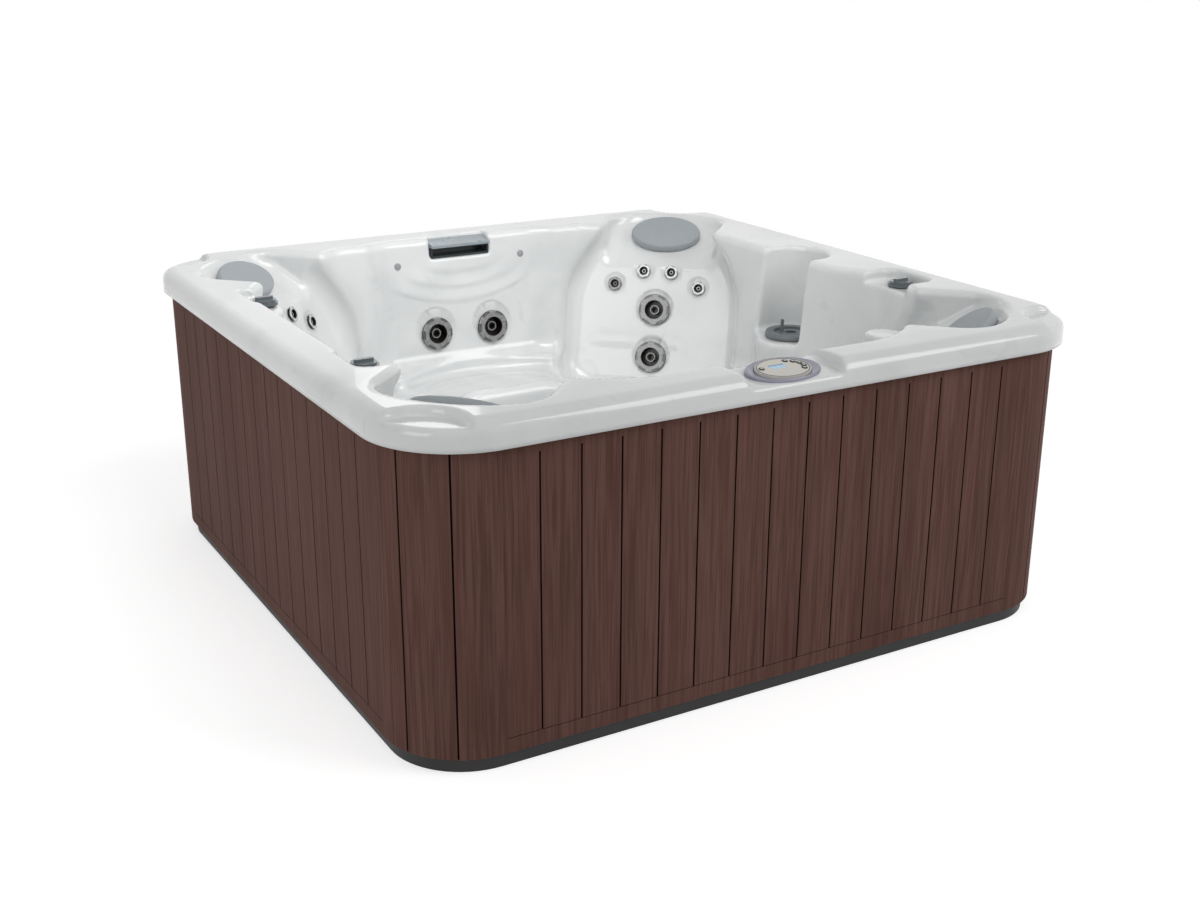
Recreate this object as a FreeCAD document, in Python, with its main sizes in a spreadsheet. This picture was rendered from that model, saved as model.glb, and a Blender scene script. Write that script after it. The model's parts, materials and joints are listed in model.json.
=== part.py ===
import FreeCAD, Part
import math
import os
import Sketcher
from FreeCAD import Placement, Rotation, Vector
from types import SimpleNamespace

# Square six-seat hot tub. Frame: origin under the middle of the base, +Z up, the control panel
# looks towards -Y. Lengths are in millimetres and angles in degrees.

DIMENSIONS = {
    # Rim and skin of the shell
    "lip_overhang": 24.5,
    "lip_top": 900,
    "lip_height": 74,
    "lip_corner": 245,
    "lip_round": 42,
    "lip_edge_round": 5,
    "skin": 12,
    # Basin above the seats: the space behind each of its walls at seat height, and the cut of its corners
    "back_space": 152.5,
    "front_space": 132.5,
    "left_space": 137.5,
    "right_space": 247.5,
    "corner_cut": 735,
    "basin_draft": 5,
    "basin_round": 70,
    "seat_drop": 450,
    "seat_cove": 50,
    # Dished pan in the middle of the back seat
    "pan_half_length": 330,
    "pan_half_width": 165,
    "pan_gap": 15,
    "pan_depth": 45,
    "pan_round": 30,
    # Footwell
    "footwell_space": 532.5,
    "footwell_round": 120,
    "footwell_cove": 40,
    # Arched backrests of the corner seats
    "arch_radius": 325,
    "arch_drop": 300,
    "backrest_lean": 18,
    "backrest_space": 527,
    "backrest_drop": 470,
    "bucket_drop": 595,
    "bucket_round": 110,
    "backrest_cove": 55,
    # Bench scoop on the right
    "bench_inset": 255,
    "bench_y": -360,
    "bench_radius": 330,
    "bench_top_radius": 362,
    # Filter niche, its canister and its lid
    "niche_space": 172.5,
    "niche_y": 75,
    "niche_radius": 115,
    "niche_drop": 288,
    "niche_corbel_reach": 118,
    "niche_corbel_drop": 260,
    "canister_radius": 70,
    "canister_wall": 5,
    "canister_depth": 362,
    "cartridge_radius": 58,
    "cartridge_bore": 25,
    "cartridge_height": 270,
    "lid_radius": 88,
    "lid_ring_height": 16,
    "lid_bevel": 4,
    "lid_depth": 40,
    "lid_groove_radius": 58,
    "lid_groove_depth": 10,
    "hub_radius": 40,
    "hub_bore": 20,
    "hub_drop": 4,
    "tab_width": 16,
    "tab_height": 44,
    "tab_angle": 150,
    # Rim recesses
    "shelf_inset": 65,
    "shelf_radius": 120,
    "shelf_drop": 20,
    "recess_length": 200,
    "recess_depth": 36,
    "recess_round": 40,
    "recess_margin": 52,
    "recess_reach": 110,
    "corbel_set_back": 37,
    "corbel_reach": 90,
    "corbel_drop": 230,
    # Pillows
    "pillow_width": 262,
    "pillow_height": 168,
    "pillow_thickness": 34,
    "pillow_crown": 5,
    "pillow_space": 309,
    "pillow_drop": 43,
    "pillow_lean": 58,
    "pillow_margin": 45,
    # Waterfall in the back wall
    "waterfall_width": 224,
    "waterfall_drop": 72,
    "waterfall_space": 58.5,
    "waterfall_depth": 64,
    "waterfall_spout_height": 36,
    "waterfall_cap_thickness": 10,
    "waterfall_cap_slope": 10,
    "waterfall_margin": 2,
    "waterfall_wall": 6,
    "waterfall_overhang": 12,
    # Accent lights
    "light_spread": 240,
    "light_drop": 88,
    "light_radius": 12.5,
    "light_stem": 8,
    # Control panel
    "panel_space": 27.5,
    "panel_drop": 26,
    "panel_tilt": 9,
    "scoop_half": 152,
    "scoop_back": 78,
    "scoop_front": 90,
    "scoop_height": 120,
    "scoop_round": 60,
    "bezel_half_length": 111,
    "bezel_half_width": 64,
    "bezel_height": 9,
    "panel_half_length": 80,
    "panel_half_width": 55,
    "panel_height": 11,
    "unit_length": 110,
    "unit_width": 60,
    "unit_depth": 45,
    "display_length": 46,
    "display_width": 22,
    "display_depth": 3,
    "display_x": -11,
    "display_y": 10,
    "button_radius": 6,
    "button_height": 4,
    "button_proud": 2,
    "button_travel": 1,
    "button_inset": 18,
    # Jets
    "jet_radius": 58,
    "jet_ring_height": 11,
    "jet_ring_bore": 34,
    "jet_body_radius": 42,
    "jet_body_wall": 3,
    "jet_flange": 3,
    "jet_flange_radius": 54,
    "jet_body_depth": 75,
    "jet_skirt_depth": 26,
    "jet_floor": 5,
    "jet_notches": 6,
    "jet_notch_width": 30,
    "jet_notch_reach": 10,
    "jet_notch_depth": 4,
    "jet_bevel": 3,
    "nozzle_radius": 17,
    "nozzle_bore": 9,
    "nozzle_height": 26,
    "middle_jet_spread": 110,
    "middle_jet_drop": 338,
    "upper_jet_drop": 307,
    "lower_jet_drop": 474,
    "small_jet_radius": 25,
    "small_jet_height": 7,
    "small_jet_bore": 13,
    "small_body_radius": 17,
    "small_body_depth": 50,
    "small_skirt_depth": 16,
    "small_flange_radius": 23,
    "small_jet_notches": 5,
    "small_notch_width": 13,
    "small_notch_reach": 4,
    "small_notch_depth": 2,
    "small_jet_bevel": 2,
    "small_nozzle_radius": 7,
    "small_nozzle_bore": 4,
    "neck_jet_spread": 52,
    "neck_jet_drop": 173,
    "shoulder_jet_spread": 158,
    "shoulder_jet_drop": 223,
    # Rim knobs
    "knob_radius": 40,
    "knob_base_height": 9,
    "knob_cap_radius": 34,
    "knob_height": 24,
    "knob_grip_width": 14,
    "knob_grip_depth": 8,
    "knob_grip_round": 6,
    "knob_stem_radius": 9,
    "knob_stem_depth": 40,
    "valve_radius": 21,
    "valve_depth": 110,
    "valve_flange_radius": 30,
    "right_knob_space": 92.5,
    "right_knob_reach": 652.5,
    "left_knob_space": 129.5,
    "left_back_knob_reach": 657.5,
    "left_front_knob_reach": 602.5,
    # Cabinet: its width sets the tub's plan
    "cabinet_width": 2081,
    "cabinet_corner": 220,
    "panel_thickness": 18,
    "cabinet_drop": 50,
    "corner_reach": 228,
    "seam": 0.6,
    "slat_pitch": 110.4,
    "slat_grooves": 14,
    "groove_width": 5,
    "groove_depth": 4,
    "groove_inset": 52,
    "groove_bottom": 82,
    "rail_line": 2,
    "corner_groove_angle": 25,
    "corner_groove_step": 35,
    # Base and frame
    "base_height": 41,
    "base_inset": 15.8,
    "rail_width": 40,
    "rail_height": 50,
    "rail_end": 240.5,
    "front_rail_drop": 110,
    "post_width": 40,
    "post_inset": 440.5,
    "corner_post_inset": 110.5,
    # Equipment under the front seat
    "inlet_run": 190,
    "pump_space": 277.5,
    "pump_level": 151,
    "volute_radius": 95,
    "volute_length": 70,
    "volute_wall": 6,
    "port_radius": 30,
    "port_length": 40,
    "riser_top": 255,
    "impeller_radius": 70,
    "impeller_thickness": 24,
    "shaft_radius": 8,
    "shaft_length": 120,
    "motor_radius": 82,
    "motor_length": 240,
    "motor_foot_length": 160,
    "motor_foot_width": 110,
    "heater_radius": 36,
    "heater_offset": 100,
    "heater_length": 180,
    "heater_level": 310,
    "pipe_radius": 24,
    "pipe_bore": 20,
    "pipe_bend": 50,
    "return_inset": 190,
    "fitting_spacing": 150,
    "fitting_cover_radius": 55,
    "fitting_cover_height": 18,
    "box_offset": 440,
    "box_length": 360,
    "box_width": 110,
    "box_height": 225,
    "box_wall": 4,
    # Fits
    "clearance": 0.3,
    "sink": 20,
}

doc = FreeCAD.newDocument("hot_tub")
sheet = doc.addObject("Spreadsheet::Sheet", "size")


class Size:
    """A length or an angle: its number, and the formula that gives it in the sheet."""

    def __init__(self, value, formula):
        self.value = value
        self.formula = formula

    def __add__(self, other):
        return joined(self, "+", other, self.value + number(other))

    def __sub__(self, other):
        return joined(self, "-", other, self.value - number(other))

    def __mul__(self, other):
        return joined(self, "*", other, self.value * number(other))

    def __truediv__(self, other):
        return joined(self, "/", other, self.value / number(other))

    def __radd__(self, other):
        return sized(other) + self

    def __rsub__(self, other):
        return sized(other) - self

    def __rmul__(self, other):
        return sized(other) * self

    def __neg__(self):
        return Size(-self.value, f"(-{self.formula})")


def sized(amount):
    """The amount as a Size, whether it is one already or a plain number."""
    return amount if isinstance(amount, Size) else Size(amount, f"({amount})")


def number(amount):
    return sized(amount).value


def joined(left, sign, right, value):
    return Size(value, f"({left.formula} {sign} {sized(right).formula})")


def tangent(angle):
    return Size(math.tan(math.radians(angle.value)), f"tan({angle.formula} * 1 deg)")


def cosine(angle):
    return Size(math.cos(math.radians(angle.value)), f"cos({angle.formula} * 1 deg)")


def sine(angle):
    return Size(math.sin(math.radians(angle.value)), f"sin({angle.formula} * 1 deg)")


def fill_sheet():
    """Write each driving dimension to its own named cell and return them as Sizes."""
    sizes = {}
    for row, (name, value) in enumerate(DIMENSIONS.items(), start=1):
        sheet.set(f"A{row}", name)
        sheet.set(f"B{row}", str(value))
        sheet.setAlias(f"B{row}", name)
        sizes[name] = Size(value, f"size.{name}")
    doc.recompute()
    return SimpleNamespace(**sizes)


def place_in_plan(sizes):
    """Places in plan, measured in from the cabinet so that they follow its width."""
    inside = sizes.cabinet_width / 2 - sizes.panel_thickness
    diagonal = inside * math.sqrt(2)
    sizes.inside = inside
    sizes.lip_width = sizes.cabinet_width + 2 * sizes.lip_overhang
    sizes.basin_back = inside - sizes.back_space
    sizes.basin_front = inside - sizes.front_space
    sizes.basin_left = inside - sizes.left_space
    sizes.basin_right = inside - sizes.right_space
    sizes.basin_corner = 2 * inside - sizes.corner_cut
    sizes.footwell_half = inside - sizes.footwell_space
    sizes.backrest_reach = diagonal - sizes.backrest_space
    sizes.pillow_reach = diagonal - sizes.pillow_space
    sizes.pan_y = sizes.basin_back - sizes.pan_gap - sizes.pan_half_width
    sizes.bench_x = sizes.basin_right - sizes.bench_inset
    sizes.niche_x = inside - sizes.niche_space
    sizes.right_knob_x = inside - sizes.right_knob_space
    sizes.right_knob_y = sizes.right_knob_reach - inside
    sizes.left_knob_x = sizes.left_knob_space - inside
    sizes.left_back_knob_y = inside - sizes.left_back_knob_reach
    sizes.left_front_knob_y = sizes.left_front_knob_reach - inside
    sizes.waterfall_back = inside - sizes.waterfall_space
    sizes.waterfall_front = sizes.waterfall_back - sizes.waterfall_depth
    sizes.panel_y = sizes.panel_space - inside
    sizes.pump_y = sizes.pump_space - inside
    sizes.return_x = sizes.footwell_half - sizes.return_inset
    sizes.suction_x = sizes.return_x - sizes.fitting_spacing
    sizes.pump_x = sizes.suction_x - sizes.inlet_run
    sizes.heater_x = sizes.pump_x + sizes.heater_offset
    sizes.box_x = sizes.pump_x - sizes.box_offset
    sizes.shelf_place = sizes.lip_width / 2 - sizes.shelf_inset
    sizes.rail_length = sizes.cabinet_width - 2 * sizes.rail_end
    sizes.post_spread = sizes.cabinet_width / 2 - sizes.post_inset
    sizes.corner_post_place = sizes.cabinet_width / 2 - sizes.corner_post_inset


def place_in_height(sizes):
    """Heights, measured down from the top of the lip."""
    top = sizes.lip_top
    sizes.lip_bottom = top - sizes.lip_height
    sizes.seat_level = top - sizes.seat_drop
    sizes.arch_middle = top - sizes.arch_drop
    sizes.backrest_height = top - sizes.backrest_drop
    sizes.bucket_level = top - sizes.bucket_drop
    sizes.niche_floor = top - sizes.niche_drop
    sizes.canister_bottom = sizes.niche_floor - sizes.canister_depth
    sizes.recess_floor = top - sizes.recess_depth
    sizes.pillow_level = top - sizes.pillow_drop
    sizes.waterfall_bottom = top - sizes.waterfall_drop
    sizes.light_level = top - sizes.light_drop
    sizes.panel_level = top - sizes.panel_drop
    sizes.middle_jet_level = top - sizes.middle_jet_drop
    sizes.upper_jet_level = top - sizes.upper_jet_drop
    sizes.lower_jet_level = top - sizes.lower_jet_drop
    sizes.neck_jet_level = top - sizes.neck_jet_drop
    sizes.shoulder_jet_level = top - sizes.shoulder_jet_drop
    sizes.panel_top = top - sizes.cabinet_drop
    sizes.groove_top = sizes.panel_top - sizes.groove_inset


d = fill_sheet()
place_in_plan(d)
place_in_height(d)
finished = {}

# Two places closer than this are the same place
TOUCH = 0.01


# Building blocks

def bind(thing, **sizes):
    """Tie properties of a thing to formulas in the sheet."""
    for name, size in sizes.items():
        setattr(thing, name, number(size))
        thing.setExpression(name, sized(size).formula)
    return thing


def put(thing, x=0, y=0, z=0, turn=Rotation()):
    """Put a thing's own origin at x, y, z, turned by a rotation."""
    thing.Placement = Placement(Vector(number(x), number(y), number(z)), turn)
    for axis, size in zip("xyz", (x, y, z)):
        thing.setExpression(f"Placement.Base.{axis}", sized(size).formula)
    return thing


def box(length, width, height, x=0, y=0, z=0):
    """A box centred on x and y that stands on z."""
    solid = bind(doc.addObject("Part::Box", "Box"), Length=length, Width=width, Height=height)
    return put(solid, x - length / 2, y - width / 2, z)


def cylinder(radius, height, x=0, y=0, z=0):
    """An upright cylinder that stands on z."""
    solid = bind(doc.addObject("Part::Cylinder", "Cylinder"), Radius=radius, Height=height)
    return put(solid, x, y, z)


def cone(low_radius, high_radius, height, x=0, y=0, z=0):
    solid = doc.addObject("Part::Cone", "Cone")
    return put(bind(solid, Radius1=low_radius, Radius2=high_radius, Height=height), x, y, z)


def oval(half_length, half_width, height, z=0):
    """An upright elliptic cylinder on the origin, longer along X."""
    outline = doc.addObject("Part::Ellipse", "Ellipse")
    put(bind(outline, MajorRadius=half_length, MinorRadius=half_width), 0, 0, z)
    solid = doc.addObject("Part::Extrusion", "Oval")
    solid.Base = outline
    solid.DirMode = "Custom"
    solid.Dir = Vector(0, 0, 1)
    solid.Solid = True
    return bind(solid, LengthFwd=height)


def fused(*solids):
    union = doc.addObject("Part::MultiFuse", "Union")
    union.Shapes = list(solids)
    union.Refine = True
    return union


def without(base, *tools):
    """The base with every tool cut out of it."""
    result = doc.addObject("Part::Cut", "Cut")
    result.Base = base
    result.Tool = tools[0] if len(tools) == 1 else fused(*tools)
    return result


def shared(first, second):
    result = doc.addObject("Part::Common", "Shared")
    result.Base = first
    result.Tool = second
    return result


def rounded(base, radius, chosen):
    """The base with a fillet on every edge that the chosen test picks."""
    doc.recompute()
    fillet = doc.addObject("Part::Fillet", "Fillet")
    fillet.Base = base
    edges = enumerate(base.Shape.Edges, start=1)
    fillet.Edges = [(index, number(radius), number(radius)) for index, edge in edges if chosen(edge)]
    return fillet


def standing(edge):
    """True for an edge that climbs more than it runs."""
    low, high = edge.BoundBox.ZMin, edge.BoundBox.ZMax
    return high - low > max(edge.BoundBox.XLength, edge.BoundBox.YLength)


def lying_at(height):
    """A test for edges that lie flat at a height."""
    level = number(height)

    def chosen(edge):
        return abs(edge.BoundBox.ZMin - level) < TOUCH and abs(edge.BoundBox.ZMax - level) < TOUCH

    return chosen


def origin_feature(body, role):
    return next(item for item in body.Origin.OriginFeatures if item.Role == role)


def outline(holder, plane, corners):
    """A closed sketch through corner points, each tied to the sheet by its two distances."""
    if plane:
        sketch = holder.newObject("Sketcher::SketchObject", "Outline")
        sketch.AttachmentSupport = [(origin_feature(holder, plane), "")]
        sketch.MapMode = "FlatFace"
    else:
        sketch = doc.addObject("Sketcher::SketchObject", "Outline")
    points = [Vector(number(across), number(up), 0) for across, up in corners]
    count = len(points)
    for index in range(count):
        sketch.addGeometry(Part.LineSegment(points[index], points[(index + 1) % count]))
    for index in range(count):
        sketch.addConstraint(Sketcher.Constraint("Coincident", index, 2, (index + 1) % count, 1))
    for index, (across, up) in enumerate(corners):
        tie(sketch, "DistanceX", index, across)
        tie(sketch, "DistanceY", index, up)
    return sketch


def tie(sketch, kind, index, size):
    """Hold the start of one line at a distance from the sketch's own origin."""
    place = sketch.addConstraint(Sketcher.Constraint(kind, -1, 1, index, 1, number(size)))
    sketch.setExpression(f"Constraints[{place}]", sized(size).formula)


def turned(corners):
    """A body turned about its own Z axis from a half section of radius and height points."""
    body = doc.addObject("PartDesign::Body", "Turned")
    sketch = outline(body, "XZ_Plane", corners)
    turn = body.newObject("PartDesign::Revolution", "Turn")
    turn.Profile = sketch
    turn.ReferenceAxis = (sketch, ["V_Axis"])
    turn.Angle = 360
    return body


def notched(body, count, width, inner, outer, low, high):
    """Cut notches round a turned body's edge, each a pocket between two radii and two heights."""
    sketch = outline(body, "XY_Plane", [
        (inner, -width / 2), (outer, -width / 2), (outer, width / 2), (inner, width / 2)])
    sketch.AttachmentOffset = Placement(Vector(0, 0, number(low)), Rotation())
    sketch.setExpression("AttachmentOffset.Base.z", low.formula)
    pocket = body.newObject("PartDesign::Pocket", "Notch")
    pocket.Profile = sketch
    pocket.Reversed = True
    bind(pocket, Length=high - low)
    ring = body.newObject("PartDesign::PolarPattern", "Notches")
    ring.Originals = [pocket]
    ring.Axis = (origin_feature(body, "Z_Axis"), [""])
    ring.Angle = 360
    ring.Occurrences = int(number(count))
    ring.setExpression("Occurrences", count.formula)
    body.Tip = ring
    return body


def group(*solids):
    """Separate solids kept in one node."""
    bundle = doc.addObject("Part::Compound", "Group")
    bundle.Links = list(solids)
    return bundle


def carried(thing, frame):
    """Move a thing, placed in a frame's own coordinates, to where the frame is."""
    place = frame.multiply(thing.Placement)
    for axis in "xyz":
        thing.setExpression(f"Placement.Base.{axis}", None)
    thing.Placement = place
    return thing


def finish(name, thing, frame=Placement()):
    """Name a finished sub-part and seat it in the tub."""
    thing.Label = name
    finished[name] = carried(thing, frame) if frame != Placement() else thing


# Frames that the pieces are seated in

CORNERS = {
    "front_left": (-1, -1),
    "front_right": (1, -1),
    "back_left": (-1, 1),
    "back_right": (1, 1),
}


def corner_frame(corner, lean, reach, level):
    """A frame across a corner: X sideways, Y up the slope, Z towards the middle of the tub."""
    side, depth = CORNERS[corner]
    outward = Vector(side, depth, 0).normalize()
    sideways = Vector(depth, -side, 0).normalize()
    angle = math.radians(number(lean))
    up_slope = outward * math.sin(angle) + Vector(0, 0, math.cos(angle))
    inward = outward * -math.cos(angle) + Vector(0, 0, math.sin(angle))
    place = outward * number(reach) + Vector(0, 0, number(level))
    return Placement(place, Rotation(sideways, up_slope, inward, "ZXY"))


def backrest_frame(corner, level, spread=0):
    """A frame on a corner seat's backrest, at a height and a distance from its middle."""
    reach = d.backrest_reach + (level - d.backrest_height) * tangent(d.backrest_lean)
    frame = corner_frame(corner, d.backrest_lean, reach, level)
    return frame.multiply(Placement(Vector(number(spread), 0, 0), Rotation()))


def back_wall_frame(x, level):
    """A frame on the middle seat's wall, Z towards the middle of the tub."""
    angle = math.radians(number(d.basin_draft))
    y = d.basin_back + (level - d.seat_level) * tangent(d.basin_draft)
    inward = Vector(0, -math.cos(angle), math.sin(angle))
    up_slope = Vector(0, math.sin(angle), math.cos(angle))
    facing = Rotation(Vector(-1, 0, 0), up_slope, inward, "ZXY")
    return Placement(Vector(number(x), number(y), number(level)), facing)


def panel_frame():
    """The control panel's frame: X along the rim, Z out of the panel's face."""
    place = Vector(0, number(d.panel_y), number(d.panel_level))
    return Placement(place, Rotation(Vector(1, 0, 0), number(d.panel_tilt)))


def large_jet_frames():
    frames = {
        "middle_left": back_wall_frame(-d.middle_jet_spread, d.middle_jet_level),
        "middle_right": back_wall_frame(d.middle_jet_spread, d.middle_jet_level),
    }
    for side in ("left", "right"):
        frames[f"{side}_upper"] = backrest_frame(f"back_{side}", d.upper_jet_level)
        frames[f"{side}_lower"] = backrest_frame(f"back_{side}", d.lower_jet_level)
    return frames


def small_jet_frames():
    frames = {}
    for side in ("left", "right"):
        corner = f"back_{side}"
        rows = {
            "neck": (d.neck_jet_spread, d.neck_jet_level),
            "shoulder": (d.shoulder_jet_spread, d.shoulder_jet_level),
        }
        for row, (spread, level) in rows.items():
            frames[f"{side}_{row}_one"] = backrest_frame(corner, level, spread)
            frames[f"{side}_{row}_two"] = backrest_frame(corner, level, -spread)
    return frames


def light_frames():
    return [back_wall_frame(side * d.light_spread, d.light_level) for side in (-1, 1)]


def knob_places():
    return {
        "knob_right": (d.right_knob_x, d.right_knob_y),
        "knob_left_back": (d.left_knob_x, d.left_back_knob_y),
        "knob_left_front": (d.left_knob_x, d.left_front_knob_y),
    }


# Hollows of the shell: each is made at its true size, and again one skin thickness larger

def basin(grow):
    """The space above the seats: eight drafted walls, with the brackets under the ledges left standing."""
    left = d.basin_left + grow
    right = d.basin_right + grow
    back = d.basin_back + grow
    front = d.basin_front + grow
    corner = d.basin_corner + grow * math.sqrt(2)
    sketch = outline(None, None, [
        (right, right - corner), (right, corner - right), (corner - back, back),
        (back - corner, back), (-left, corner - left), (-left, left - corner),
        (front - corner, -front), (corner - front, -front)])
    floor = d.seat_level - grow
    put(sketch, 0, 0, floor)
    hollow = doc.addObject("Part::Extrusion", "Basin")
    hollow.Base = sketch
    hollow.DirMode = "Normal"
    hollow.Solid = True
    bind(hollow, LengthFwd=d.lip_top + d.sink - floor, TaperAngle=d.basin_draft)
    upright = rounded(hollow, d.basin_round + grow, standing)
    return without(rounded(upright, d.seat_cove + grow, lying_at(floor)), *corbels(grow))


def corbels(grow):
    """The brackets under the two left knobs and under the filter niche."""
    reach, drop = d.niche_corbel_reach, d.niche_corbel_drop
    brackets = [corbel(d.niche_x, d.niche_y, d.niche_floor, reach, drop, grow)]
    x = d.left_knob_x - d.corbel_set_back
    for y in (d.left_back_knob_y, d.left_front_knob_y):
        brackets.append(corbel(x, y, d.recess_floor, d.corbel_reach, d.corbel_drop, grow))
    return brackets


def corbel(x, y, top, reach, drop, grow):
    """Half an egg that hangs below a ledge and stands out of the basin's wall."""
    bracket = doc.addObject("Part::Ellipsoid", "Corbel")
    bracket.Angle2 = 0
    bind(bracket, Radius1=drop - grow, Radius2=reach - grow, Radius3=reach - grow)
    return put(bracket, x, y, top)


def seat_pan(grow):
    """The shallow oval pan in the middle of the back seat."""
    floor = d.seat_level - d.pan_depth - grow
    height = d.pan_depth + d.sink + grow
    pan = oval(d.pan_half_length + grow, d.pan_half_width + grow, height, floor)
    return put(rounded(pan, d.pan_round + grow, lying_at(floor)), 0, d.pan_y)


def footwell(grow):
    side = 2 * (d.footwell_half + grow)
    floor = d.base_height + d.skin - grow
    well = box(side, side, d.seat_level + d.sink - floor, 0, 0, floor)
    upright = rounded(well, d.footwell_round + grow, standing)
    return rounded(upright, d.footwell_cove + grow, lying_at(floor))


def alcove(corner, grow):
    """A corner seat's arched hollow, leaning back, with a bucket below it."""
    rise = (d.arch_middle - d.backrest_height) / cosine(d.backrest_lean)
    fall = (d.backrest_height - d.bucket_level) / cosine(d.backrest_lean) + grow
    radius = d.arch_radius + grow
    depth = d.arch_radius * 2
    legs = box(2 * radius, rise + fall, depth + grow, 0, (rise - fall) / 2, -grow)
    arch = cylinder(radius, depth + grow, 0, rise, -grow)
    hollow = fused(legs, arch)
    bottom = -number(fall)

    def bucket_edge(edge):
        runs_back = edge.BoundBox.ZLength > number(d.arch_radius)
        return runs_back and abs(edge.BoundBox.YMin - bottom) < TOUCH

    bucket = rounded(hollow, d.bucket_round + grow, bucket_edge)
    cove = rounded(bucket, d.backrest_cove + grow, lying_at(-grow))
    cove.Placement = corner_frame(corner, d.backrest_lean, d.backrest_reach, d.backrest_height)
    return cove


def pillow_seat(corner, grow):
    """The sloping pad that a pillow lies on, with the slope that runs down to the backrest."""
    half_length = d.pillow_width / 2 + d.pillow_margin + grow
    half_width = d.pillow_height / 2 + d.pillow_margin + grow
    depth = d.pillow_width
    crown = oval(half_length, half_width, depth, -grow)
    slope = box(2 * half_length, d.pillow_height, depth, 0, -d.pillow_height / 2, -grow)
    pad = fused(crown, slope)
    pad.Placement = pillow_frame(corner)
    return pad


def pillow_frame(corner):
    """A pillow's frame: its back face, sunk one thickness behind its crown."""
    face = corner_frame(corner, d.pillow_lean, d.pillow_reach, d.pillow_level)
    return face.multiply(Placement(Vector(0, 0, -number(d.pillow_thickness)), Rotation()))


def bench(grow):
    floor = d.seat_level - grow
    height = d.lip_top + d.sink - floor
    return cone(d.bench_radius + grow, d.bench_top_radius + grow, height, d.bench_x, d.bench_y, floor)


def niche(grow):
    """The filter niche: a round hollow with a mouth into the basin."""
    floor = d.niche_floor - grow
    height = d.lip_top + d.sink - floor
    radius = d.niche_radius + grow
    hollow = cylinder(radius, height, d.niche_x, d.niche_y, floor)
    mouth = box(d.niche_radius, 2 * radius, height, d.niche_x - d.niche_radius / 2, d.niche_y, floor)
    return fused(hollow, mouth)


def corner_shelf(corner, grow):
    side, depth = CORNERS[corner]
    floor = d.lip_top - d.shelf_drop - grow
    height = d.shelf_drop + grow + d.sink
    return cylinder(d.shelf_radius + grow, height, side * d.shelf_place, depth * d.shelf_place, floor)


def knob_recess(place, grow):
    """A ledge in the rim's inner edge that a knob stands on."""
    x, y = place
    side = 1 if number(x) > 0 else -1
    width = d.recess_margin + d.recess_reach + 2 * grow
    middle = x + side * (d.recess_margin - d.recess_reach) / 2
    floor = d.recess_floor - grow
    ledge = box(width, d.recess_length + 2 * grow, d.recess_depth + grow + d.sink, middle, y, floor)
    return rounded(ledge, d.recess_round + grow, standing)


def panel_scoop(grow):
    """The tilted place in the front rim that the control panel lies in."""
    back = d.scoop_back + grow
    front = d.scoop_front + grow
    scoop = box(2 * (d.scoop_half + grow), back + front, d.scoop_height, 0, (back - front) / 2, -grow)
    soft = rounded(scoop, d.scoop_round + grow, standing)
    soft.Placement = panel_frame()
    return soft


def waterfall_notch(grow):
    low = d.waterfall_bottom - grow
    front = d.waterfall_front - d.lip_round - grow
    back = d.waterfall_back + grow
    width = d.waterfall_width + 2 * (d.waterfall_margin + grow)
    return box(width, back - front, d.lip_top + d.sink - low, 0, (back + front) / 2, low)


def hollows(grow):
    """Every hollow of the shell, joined into one solid."""
    pieces = [basin(grow), seat_pan(grow), footwell(grow), bench(grow), niche(grow)]
    pieces += [panel_scoop(grow), waterfall_notch(grow)]
    for corner in CORNERS:
        pieces += [alcove(corner, grow), pillow_seat(corner, grow), corner_shelf(corner, grow)]
    pieces += [knob_recess(place, grow) for place in knob_places().values()]
    return fused(*pieces)


def lip_block(shrink, top, bottom):
    """A rounded square slab, inset from the lip's outline."""
    side = d.lip_width - 2 * shrink
    slab = box(side, side, top - bottom, 0, 0, bottom)
    return rounded(slab, d.lip_corner - shrink, standing)


def wall_holes():
    """The holes in the skin for jets, knobs, lights, filter, control panel and pipe fittings."""
    holes = []
    for frame in large_jet_frames().values():
        holes.append(bore_through(d.jet_body_radius + d.clearance, frame))
    for frame in small_jet_frames().values():
        holes.append(bore_through(d.small_body_radius + d.clearance, frame))
    for frame in light_frames():
        holes.append(bore_through(d.light_stem + d.clearance, frame))
    for x, y in knob_places().values():
        holes.append(bore_through(d.valve_radius + d.clearance, upright_frame(x, y, d.recess_floor)))
    canister_frame = upright_frame(d.niche_x, d.niche_y, d.niche_floor)
    holes.append(bore_through(d.canister_radius + d.clearance, canister_frame))
    unit_length = d.unit_length + 2 * d.clearance
    unit_width = d.unit_width + 2 * d.clearance
    unit_hole = box(unit_length, unit_width, 3 * d.skin, 0, 0, -2 * d.skin)
    holes.append(carried(unit_hole, panel_frame()))
    for frame in fitting_frames():
        holes.append(bore_through(d.pipe_radius + d.clearance, frame))
    return holes


def upright_frame(x, y, z):
    return Placement(Vector(number(x), number(y), number(z)), Rotation())


def bore_through(radius, frame):
    """A hole through the skin along a frame's Z axis."""
    hole = bind(doc.addObject("Part::Cylinder", "Bore"), Radius=radius, Height=3 * d.skin)
    hole.Placement = frame.multiply(Placement(Vector(0, 0, -2 * number(d.skin)), Rotation()))
    return hole


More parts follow.
